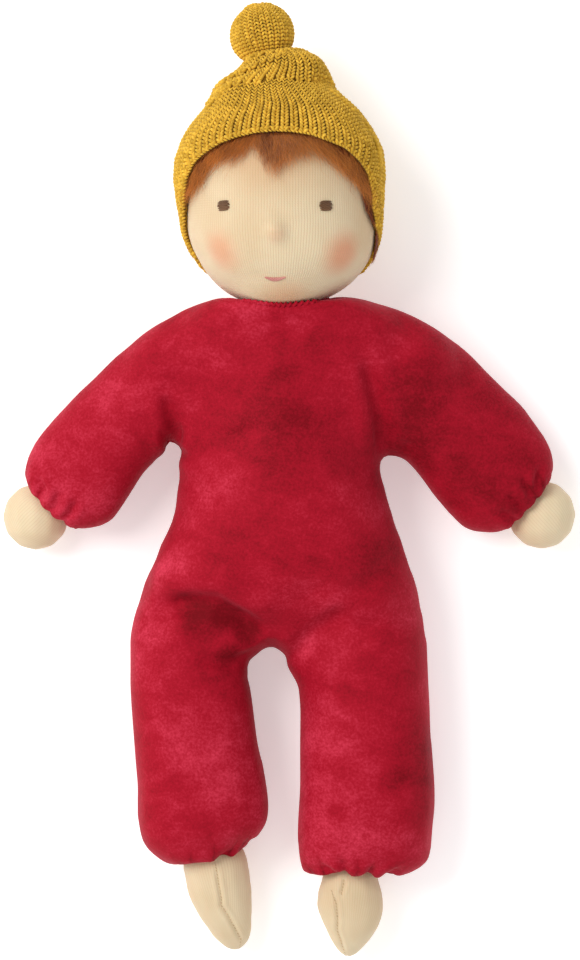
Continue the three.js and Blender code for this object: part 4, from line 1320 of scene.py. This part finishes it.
HAIR_DARK, HAIR_BRIGHT = colour("6e2206"), colour("ffa244")
wig_material, tree, shader = start_material("auburn_mohair", Roughness=0.55, Specular_IOR_Level=0.35,
                                            Sheen_Weight=0.2, Sheen_Roughness=0.4)
own = add_node(tree, "ShaderNodeAttribute", attribute_name="shade").outputs["Fac"]
place = add_node(tree, "ShaderNodeTexCoord").outputs["Object"]
drift = noise_at(tree, place, 190, 3)
level = math_node(tree, "ADD", math_node(tree, "MULTIPLY", own, 0.95), math_node(tree, "MULTIPLY", drift, 0.5))
level = math_node(tree, "SUBTRACT", level, 0.27, clamp=True)
tree.links.new(mix_colour(tree, level, HAIR_DARK, HAIR_BRIGHT), shader.inputs["Base Color"])
bump = add_node(tree, "ShaderNodeBump", {"Strength": 0.4, "Distance": 0.3 * MM,
                                         "Height": noise_at(tree, place, 900, 3)})
tree.links.new(bump.outputs["Normal"], shader.inputs["Normal"])

BASE_OUT, BASE_ABOVE_HAIRLINE = 0.9, 5.0
base_work = turned(head_outline(BASE_OUT * MM))
for v in base_work.verts:
    v.co.x += float(face_lean(v.co.y / MM)) * MM
unwanted = []
for face in base_work.faces:
    p = face.calc_center_median() / MM
    turn = math.atan2(p.x, p.z - AXIS_HEIGHT)
    if p.y < float(hair_edge(turn)) + BASE_ABOVE_HAIRLINE:
        unwanted.append(face)
bmesh.ops.delete(base_work, geom=unwanted, context="FACES")
for v in base_work.verts:
    if v.is_boundary:
        turn = np.array([math.atan2(v.co.x, v.co.z - AXIS_HEIGHT * MM)])
        v.co = head_points(turn, way_to(hair_edge(turn) + BASE_ABOVE_HAIRLINE), BASE_OUT)[0]
base = piece_from(base_work, "wig_base", wig_material)
wall = base.modifiers.new("Wall", "SOLIDIFY")
wall.thickness = 0.7 * MM
wall.offset = -1
settle_modifiers(base)
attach(base, "head")
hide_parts("wig")

# %% [markdown]
# Mohair is thousands of fine curved locks. Hair particles could make them, but the doll is handed on as meshes.
# So a lock is a thin cone, cut into a few lengths so that it can bend, and every copy is laid along its own
# path: it starts under the cap, follows the head and lifts a little at its tip. The fringe ends where the
# photograph shows it, higher at the parting and lower in the tuft and at the temples.

# %% Locks of hair
# The ends of the fringe, by pixels of the picture from temple to temple.
FRINGE_SEEN = [(191, 197), (197, 195), (203, 190), (202, 178), (209, 168), (222, 164.5), (232, 163), (242, 157),
               (249.5, 149), (255, 144), (261, 149), (266.5, 162), (272, 172), (276, 177), (281, 169),
               (289.5, 163), (304, 159), (318, 156), (326, 158), (333, 163), (340, 171), (350, 180), (360, 190),
               (366, 199), (369, 203)]
fringe_ends = []
for spot in FRINGE_SEEN:
    place = seen_on(head_tree, *spot)
    fringe_ends.append((math.degrees(math.atan2(place.x, place.z - HEAD_AXIS.z)), place.y / MM))
fringe_ends = np.array(sorted(fringe_ends))


def locks(name, turn, end, length, lift, thick, seed, comb=0.0, tone_shift=0.0):
    """One mesh of curved locks. Arrays give each one's turn, end height, length, lift, thickness and lean."""
    dice = np.random.default_rng(seed)
    shape = bmesh.new()
    bmesh.ops.create_cone(shape, cap_ends=True, segments=3, radius1=1.0, radius2=0.25, depth=1.0)
    long_edges = [e for e in shape.edges if abs(e.verts[0].co.z - e.verts[1].co.z) > 0.5]
    bmesh.ops.subdivide_edges(shape, edges=long_edges, cuts=4)
    bmesh.ops.triangulate(shape, faces=shape.faces)
    verts = np.array([v.co for v in shape.verts])
    t = (verts[:, 2] + 0.5)[None, :]
    count = len(turn)
    wave, phase, bend = (dice.uniform(*r, (count, 1)) for r in ((0.6, 2.0), (0, 6.3), (-0.13, 0.13)))
    bend = bend + np.broadcast_to(comb, count)[:, None]
    way = np.maximum(way_to(end)[:, None] - length[:, None] * (1 - t), 0.3)
    sway = bend * (t ** 2 - 1) + 0.045 * wave * (0.3 + 0.7 * t) * np.sin(phase + (2 + wave * 4) * t)
    out = 0.9 + lift[:, None] * t ** 1.6 * (1 + 0.4 * np.sin(phase + 7 * t))
    path = head_points(turn[:, None] + sway, way, out)
    ahead = unit(head_points(turn[:, None] + sway, way + 0.4, out) - path)
    outward = unit(head_points(turn[:, None] + sway, way, out + 1) - path)
    side = np.cross(ahead, outward)
    radius = (thick[:, None] * (1 - 0.75 * t ** 2))[..., None] * MM
    co = path + (side * verts[None, :, :1] + outward * verts[None, :, 1:2]) * radius
    obj = repeated(shape, np.zeros((count, 3, 4)), name, dice.random(count), wig_material)
    obj.data.vertices.foreach_set("co", co.ravel())
    # Darker at the roots and lighter towards the tips: painted shade where the roots lie under the cap's rim.
    tint = 0.6 * dice.random(count)[:, None] + 0.5 * t ** 4 + tone_shift  # lighter towards the tips
    obj.data.attributes["shade"].data.foreach_set("value", tint.ravel())
    obj.data.update()
    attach(obj, "head")
    return obj


def combed(turn):
    """How far locks lean from the parting, in radians at a turn in degrees."""
    return np.interp(turn, (-70, -30, -16, -9, -4, 6, 20, 60),
                     (-0.10, -0.13, -0.04, 0.10, -0.03, 0.10, 0.22, 0.16))


dice = np.random.default_rng(11)
# Two layers of the fringe: how many locks, how far past its line, lift, thickness (mm), lightness and seed.
FRINGE_LAYERS = (("fringe", 3600, -0.2, (0.2, 2.0), (0.11, 0.21), -0.08, 3),
                 ("fringe_tips", 2000, -2.2, (0.8, 3.4), (0.06, 0.10), 0.22, 4))
TEMPLE_LOCKS, CROWN_LOCKS, CROWN_TOP = 420, 3400, 141
for name, count, over, lift, thick, tone_shift, seed in FRINGE_LAYERS:
    degrees = dice.uniform(-79, 79, count)
    line = np.interp(degrees, *fringe_ends.T)
    end = line + over + np.abs(dice.normal(0, 2.3, count)) * np.where(dice.random(count) < 0.2, -0.7, 1.0)
    end += np.sin(degrees * 0.9) * np.sin(degrees * 0.37)
    locks(name, np.radians(degrees), end, dice.uniform(14, 24, count), dice.uniform(*lift, count),
          dice.uniform(*thick, count), seed, combed(degrees), tone_shift)
# The temple locks are darkened, painted shade: the dark line of hair just inside the cap's rim.
count = TEMPLE_LOCKS
height = dice.uniform(82, 108, count)
right_rim = np.array([(up, degrees) for degrees, up in RIM if 55 < degrees < 95])[::-1]
right_rim = right_rim[np.argsort(right_rim[:, 0])]
degrees = np.interp(height, *right_rim.T) - dice.uniform(0.5, 3.5, count)
locks("temple_hair", np.radians(degrees), height, dice.uniform(6, 12, count), dice.uniform(0.2, 0.8, count),
      dice.uniform(0.16, 0.3, count), 6, 0.04, -0.25)
count = CROWN_LOCKS
turn = np.radians(dice.uniform(-180, 180, count))
low = hair_edge(turn) + np.where(np.abs(turn) > 1, 1.0, 0.0)
end = low - 0.5 + dice.uniform(0, 1, count) ** 1.5 * (CROWN_TOP - low)
locks("crown_hair", turn, end, dice.uniform(14, 26, count), dice.uniform(0.2, 1.0, count),
      dice.uniform(0.2, 0.34, count), 5)

# %% [markdown]
# The face is embroidered: each eye is six flat stitches side by side, and the mouth is a row of short slanting
# stitches. Paint would lose the thread's shine and its edges. So each stitch is a flattened ball of thread that
# lies on the jersey where a ray finds it.

# %% Embroidered eyes and mouth
def stitch_frames(stitches):
    """Frames for flat stitches: each has its middle, half length, half width, rise and slant in degrees."""
    frames = []
    for x, y, long, wide, rise, slant in stitches:
        place, outward = on_face(x, y, rise * 0.4)
        along = Vector((math.cos(math.radians(slant)), math.sin(math.radians(slant)), 0))
        along = (along - outward * along.dot(outward)).normalized()
        square = outward.cross(along)
        frames.append(np.stack([along * long * MM, square * wide * MM, outward * rise * MM, place], axis=-1))
    return np.array(frames)


def flat_stitch():
    shape = bmesh.new()
    bmesh.ops.create_uvsphere(shape, u_segments=12, v_segments=8, radius=1)
    for v in shape.verts:
        v.co.x = math.copysign(abs(v.co.x) ** 0.75, v.co.x)
    return shape


EYE_THREAD = thread_finish("eye_thread", colour("38210e"), colour("7c5430"))
MOUTH_THREAD = thread_finish("mouth_thread", colour("b0645c"), colour("dc9a90"))
EYE_PLACES = {"right": seen_at(223.6, 205.6), "left": seen_at(325.8, 205.7)}
# The six stitches of an eye: height, half length and shift (mm), and slant in degrees.
EYE_STITCHES = ((1.55, 2.3, 0.1, 2), (0.93, 2.75, -0.05, -1), (0.31, 2.95, 0.05, 1),
                (-0.31, 2.95, -0.08, -2), (-0.93, 2.75, 0.08, 1), (-1.55, 2.3, 0.0, 3))
EYE_HALF_WIDTH = 0.42
for side, (x, y) in EYE_PLACES.items():
    rows = [(x + shift, y + up, half, EYE_HALF_WIDTH, EYE_HALF_WIDTH, tilt) for up, half, shift, tilt in EYE_STITCHES]
    eye = repeated(flat_stitch(), stitch_frames(rows), f"{side}_eye_stitches",
                   np.linspace(0.2, 0.8, len(rows)), EYE_THREAD)
    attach(eye, "head")
    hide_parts(f"{side}_eye")
MOUTH = seen_at(275.2, 278.6)
MOUTH_STITCHES, MOUTH_HALF = 21, 3.6
rows = []
for i in range(MOUTH_STITCHES):
    t = i / (MOUTH_STITCHES // 2) - 1
    rows.append((MOUTH[0] + MOUTH_HALF * t, MOUTH[1] + 0.75 * t * t - 0.2, 0.95 - 0.68 * t * t, 0.3, 0.34,
                 78 + 10 * (i % 2)))
mouth = repeated(flat_stitch(), stitch_frames(rows), "mouth_stitches", np.linspace(0.1, 0.9, len(rows)), MOUTH_THREAD)
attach(mouth, "head")
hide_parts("mouth")

# %% [markdown]
# Velour is a knit with a short brushed pile. Where a hand has brushed it one way it looks light and dusty, and
# the other way deep and dark. Strands of pile would be far too many, so nodes vary the colour on three scales:
# patches, streaks and grain. They read each point's place at rest, which the mesh carries, so that the pattern
# stays put when the cloth bends.

# %% Velour
def nap_group():
    group = bpy.data.node_groups.new("crushed_nap", "ShaderNodeTree")
    group.interface.new_socket(name="Place", in_out="INPUT", socket_type="NodeSocketVector")
    for name in ("Shade", "Height"):
        group.interface.new_socket(name=name, in_out="OUTPUT", socket_type="NodeSocketFloat")
    entry, leave = group.nodes.new("NodeGroupInput"), group.nodes.new("NodeGroupOutput")
    place = entry.outputs["Place"]
    patches = ramp(group, noise_at(group, place, 27, 2, 0.5, 0.5), 0.2, 0.8)
    wide = add_node(group, "ShaderNodeVectorMath", {0: place, 1: (0.8, 1.2, 1.0)}, operation="MULTIPLY")
    streaks = ramp(group, noise_at(group, wide.outputs[0], 120, 4, 0.6, 0.6), 0.2, 0.8)
    grain = noise_at(group, place, 1000, 3, 0.65)
    shade = math_node(group, "ADD", math_node(group, "MULTIPLY", patches, 0.32),
                      math_node(group, "MULTIPLY", streaks, 0.20))
    shade = math_node(group, "ADD", shade, math_node(group, "MULTIPLY", ramp(group, grain, 0.2, 0.8), 0.26))
    height = math_node(group, "ADD", math_node(group, "MULTIPLY", streaks, 0.5), grain)
    group.links.new(math_node(group, "ADD", shade, 0.06), leave.inputs["Shade"])
    group.links.new(height, leave.inputs["Height"])
    return group


def pleat_group():
    """Fine pleats round a tie, by the turn about it: deep at the tie and gone at their reach."""
    group = bpy.data.node_groups.new("drawn_pleats", "ShaderNodeTree")
    for name, kind in (("Place", "Vector"), ("Tie", "Vector"), ("Sideways", "Vector"), ("Square", "Vector"),
                       ("Count", "Float"), ("Near", "Float"), ("Reach", "Float")):
        group.interface.new_socket(name=name, in_out="INPUT", socket_type="NodeSocket" + kind)
    group.interface.new_socket(name="Height", in_out="OUTPUT", socket_type="NodeSocketFloat")
    entry, leave = group.nodes.new("NodeGroupInput"), group.nodes.new("NodeGroupOutput")
    away = add_node(group, "ShaderNodeVectorMath", {0: entry.outputs["Place"], 1: entry.outputs["Tie"]},
                    operation="SUBTRACT").outputs[0]
    sideways, square = (add_node(group, "ShaderNodeVectorMath", {0: away, 1: entry.outputs[name]},
                                 operation="DOT_PRODUCT").outputs["Value"] for name in ("Sideways", "Square"))
    turn = math_node(group, "MULTIPLY", math_node(group, "ARCTAN2", sideways, square), entry.outputs["Count"])
    wander = math_node(group, "MULTIPLY", noise_at(group, entry.outputs["Place"], 70, 1), 5.0)
    wave = math_node(group, "SINE", math_node(group, "ADD", turn, wander))
    wave = math_node(group, "SQRT", math_node(group, "ABSOLUTE", wave))
    far = add_node(group, "ShaderNodeVectorMath", {0: away}, operation="LENGTH").outputs["Value"]
    past = add_node(group, "ShaderNodeMapRange", {"Value": far, "From Min": entry.outputs["Near"],
                                                  "From Max": entry.outputs["Reach"], "To Min": 1.0, "To Max": 0.0},
                    interpolation_type="SMOOTHSTEP").outputs["Result"]
    uneven = ramp(group, noise_at(group, entry.outputs["Place"], 60, 2), 0.3, 0.6)
    uneven = math_node(group, "ADD", math_node(group, "MULTIPLY", uneven, 0.7), 0.3)
    depth = math_node(group, "MULTIPLY", past, uneven)
    height = math_node(group, "MULTIPLY", math_node(group, "SUBTRACT", wave, 1.0), depth)
    group.links.new(height, leave.inputs["Height"])
    return group


# Broad lighter and darker patches: a place (mm), its reach, and how much lighter or darker the cloth looks there.
# Most are painted light and shade: lighter on the right arm and along the right waist, towards the key light,
# darker on the left arm, the left shoulder and the left leg's outer side, away from it, and painted shade
# in the right hip's crease and at the left waist. The chest and the belly are darker, and the legs and the
# left thigh lighter.
BROAD_PAINTED_LIGHT_AND_PATCHES = [((6, 34, 60), 44, -0.15), ((72, 12, 42), 46, -0.22), ((46, 32, 50), 18, -0.12),
           ((-80, 8, 42), 44, 0.12), ((-34, -112, 44), 46, 0.15), ((30, -112, 44), 44, 0.10),
           ((-41, -34, 46), 15, 0.22), ((-32, -56, 55), 16, -0.34), ((-14, -59, 56), 12, -0.2),
           ((22, -66, 55), 16, 0.16), ((38, -30, 50), 16, -0.12), ((-6, -30, 62), 30, -0.05),
           ((50, -105, 30), 22, -0.14)]
# The same for smaller spots, by pixels of the picture. Those in the right hip's crease are painted shade, and
# the two lighter ones under the chin are painted highlights on the collar's pleats. The rest are lighter or
# darker spots on the hips, the thighs and the chest.
SMALL_PAINTED_LIGHT_AND_PATCHES = [((225, 614), 9, -0.34), ((247, 630), 8, -0.34), ((195, 606), 10, -0.22), ((228, 655), 7, -0.25),
          ((200, 622), 12, -0.15), ((345, 692), 7, -0.2), ((396, 776), 9, -0.2), ((338, 812), 6, -0.14),
          ((306, 646), 8, 0.14), ((172, 590), 10, -0.12), ((255, 318), 10, 0.14), ((300, 324), 9, 0.18),
          ((228, 362), 12, 0.1)]
# The ties: place (mm), two directions square to the limb, how many pleats, from where and how far (mm).
UPWARD = (0, 0, 1)
TIES = [((0, 76, 46), (1, 0, 0), UPWARD, 20, 15, 22),
        (WRISTS["left"] / MM, (0.75, 0.66, 0), UPWARD, 8, 14, 27),
        (WRISTS["right"] / MM, (0.71, -0.7, 0), UPWARD, 8, 14, 27),
        (ANKLES["left"] / MM, (1, 0, 0), UPWARD, 8, 15, 28),
        (ANKLES["right"] / MM, (0.98, 0.19, 0), UPWARD, 8, 15, 28)]


def velour_cloth(name, deep, middle, bright):
    material, tree, shader = start_material(name, Roughness=0.7, Specular_IOR_Level=0.08, Sheen_Weight=0.2,
                                            Sheen_Roughness=0.35, Sheen_Tint=(0.9, 0.26, 0.34, 1))
    place = add_node(tree, "ShaderNodeAttribute", attribute_name="rest").outputs["Vector"]
    nap = add_node(tree, "ShaderNodeGroup", {"Place": place}, node_tree=NAP)
    shade = nap.outputs["Shade"]
    small_spots = [(Vector(seen_on(suit_tree, *spot)) / MM, reach, amount) for spot, reach, amount in SMALL_PAINTED_LIGHT_AND_PATCHES]
    # Painted light and shade, and plain patches, lighten or darken the nap's shade.
    for spot, reach, amount in BROAD_PAINTED_LIGHT_AND_PATCHES + small_spots:
        away = add_node(tree, "ShaderNodeVectorMath", {0: place, 1: Vector(spot) * MM}, operation="DISTANCE")
        near = ramp(tree, away.outputs["Value"], 0.2 * reach * MM, reach * MM)
        near = math_node(tree, "SUBTRACT", 1.0, near)
        shade = math_node(tree, "ADD", shade, math_node(tree, "MULTIPLY", near, amount))
    height = nap.outputs["Height"]
    for tie, sideways, square, count, near, reach in TIES:
        pleats = add_node(tree, "ShaderNodeGroup",
                          {"Place": place, "Tie": Vector(tie) * MM, "Sideways": sideways, "Square": square,
                           "Count": count, "Near": near * MM, "Reach": reach * MM}, node_tree=PLEAT_LINES)
        pleats = pleats.outputs["Height"]
        height = math_node(tree, "ADD", height, math_node(tree, "MULTIPLY", pleats, 2.2))
        # Painted shade: the valleys of the pleats are darkened.
        shade = math_node(tree, "ADD", shade, math_node(tree, "MULTIPLY", pleats, 0.35))
    tone = mix_colour(tree, ramp(tree, shade, 0.0, 0.52), deep, middle)
    tone = mix_colour(tree, ramp(tree, shade, 0.42, 0.98), tone, bright)
    tree.links.new(tone, shader.inputs["Base Color"])
    bump = add_node(tree, "ShaderNodeBump", {"Strength": 0.4, "Distance": 0.4 * MM, "Height": height})
    tree.links.new(bump.outputs["Normal"], shader.inputs["Normal"])
    return material


NAP = nap_group()
PLEAT_LINES = pleat_group()
VELOUR = velour_cloth("berry_velour", colour("720512"), colour("a40f25"), colour("d63c55"))

# %% [markdown]
# The suit is one skin to the eye, but its parts follow different bodies. An armature could bend one mesh, but
# here the skin is cut into pieces instead, and the piece of the body rides on the torso. The cuts lie where
# neighbours move alike: below the fork, at the arm holes and round the neckline. The normals of the whole skin
# are kept on the cut edges, so no cut shows at rest.

# %% The suit's pieces
def keep_rest_places(obj):
    layer = obj.data.attributes.new("rest", "FLOAT_VECTOR", "POINT")
    layer.data.foreach_set("vector", points_of(obj).ravel())


def keep_normals(obj):
    layer = obj.data.attributes.new("skin_normal", "FLOAT_VECTOR", "POINT")
    layer.data.foreach_set("vector", normals_of(obj).ravel())


def middles_of(obj):
    """The middle of each face (mm)."""
    out = np.empty(len(obj.data.polygons) * 3)
    obj.data.polygons.foreach_get("center", out)
    return out.reshape(-1, 3) / MM


def part_of_skin(skin, name, wanted):
    """A copy of the skin with only the wanted faces, which keeps the skin's own normals."""
    data = skin.data.copy()
    data.name = name
    work = bmesh.new()
    work.from_mesh(data)
    work.faces.ensure_lookup_table()
    bmesh.ops.delete(work, geom=[work.faces[i] for i in np.flatnonzero(~wanted)], context="FACES")
    work.to_mesh(data)
    work.free()
    flat = np.empty(len(data.vertices) * 3)
    data.attributes["skin_normal"].data.foreach_get("vector", flat)
    data.normals_split_custom_set_from_vertices(flat.reshape(-1, 3).tolist())
    data.attributes.remove(data.attributes["skin_normal"])
    obj = bpy.data.objects.new(name, data)
    bpy.context.scene.collection.objects.link(obj)
    obj.data.materials.clear()
    obj.data.materials.append(VELOUR)
    print(name, "faces", len(data.polygons))
    return obj


keep_rest_places(suit)
keep_normals(suit)
middles = middles_of(suit)

# The arm holes run from the armpit up to the shoulder, leaning a little towards the neck.
ARM_HOLES = {"left": ((38.8, 12.7), (0.985, 0.174)), "right": ((-41.2, 12.2), (-0.985, 0.174))}
FORK = -66.0
SHOULDER_LONG, PIVOT_HEIGHT = 15, 27
COLLAR_START, COLLAR_END = 36, 51
free = np.ones(len(middles), bool)
for side, sign in (("left", 1), ("right", -1)):
    armpit, facing = ARM_HOLES[side]
    past = (middles[:, :2] - np.array(armpit)) @ np.array(facing)
    above = middles[:, 1] - armpit[1] + np.clip(past, 0, None) * 1.8 > 0
    arm = (past > 0) & above & (middles[:, 0] * sign > 20)
    leg = (middles[:, 1] < FORK) & ((middles[:, 0] - CENTRE) * sign > 0)
    upper = part_of_skin(suit, f"{side}_shoulder_cloth", arm & (past < SHOULDER_LONG))
    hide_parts(f"{side}_shoulder_wad")
    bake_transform(upper)
    sleeve = part_of_skin(suit, f"{side}_sleeve", arm & (past >= SHOULDER_LONG))
    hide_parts(f"{side}_sleeve_front", f"{side}_sleeve_back", f"{side}_arm_stuffing")
    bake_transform(sleeve)
    trouser = part_of_skin(suit, f"{side}_trouser", leg)
    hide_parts(f"{side}_trouser_front", f"{side}_trouser_back", f"{side}_leg_stuffing")
    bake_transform(trouser)
    free &= ~(arm | leg)
# Each half of the collar is cut off along a slanting way, so that it reaches further down in the middle than towards
# the shoulders.
keep_rest_places(ruffle)
keep_normals(ruffle)
ruffle_middles = middles_of(ruffle)
for side, sign in (("left", 1), ("right", -1)):
    way = np.array((-0.6 * sign, 0.8, 0))
    half = free & (middles[:, 0] * sign > 0) & (middles @ way > COLLAR_START)
    collar = part_of_skin(suit, f"{side}_collar", half)
    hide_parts("neckline", "neck_wad")
    free &= ~half
    edge = part_of_skin(ruffle, f"{side}_neckline_ruffle", ruffle_middles[:, 0] * sign > 0)
    for piece in (collar, edge):
        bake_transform(piece)
bpy.data.objects.remove(ruffle)
body = part_of_skin(suit, "suit_body", free)
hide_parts("torso_front_panel", "torso_back_panel", "torso_stuffing")
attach(body, "torso")
bpy.data.objects.remove(suit)

# %% [markdown]
# The neck, the bobble, the wrists and the ankles are tied off with thread, in short closed rings that the
# gathers mostly hide. They could be laid strand by strand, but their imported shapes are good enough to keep, so
# they only get thread of their own.

# %% Ties
TIE_THREAD = thread_finish("linen_thread", colour("a58c66"), colour("dccbaa"))
BERRY_THREAD = thread_finish("berry_thread", colour("6a0a16"), colour("a5283a"))
# The bobble's tie wears the darker copy of the yarn, painted shade under the bobble.
KEPT = {"neck_tie": TIE_THREAD, "bobble_tie": MUSTARD_PAINTED_SHADE}
for side in ("left", "right"):
    KEPT[f"{side}_wrist_tie"] = BERRY_THREAD
    KEPT[f"{side}_ankle_tie"] = BERRY_THREAD
for node, material in KEPT.items():
    frame["nodes"][node].data.materials.clear()
    frame["nodes"][node].data.materials.append(material)
print("ties", list(KEPT))
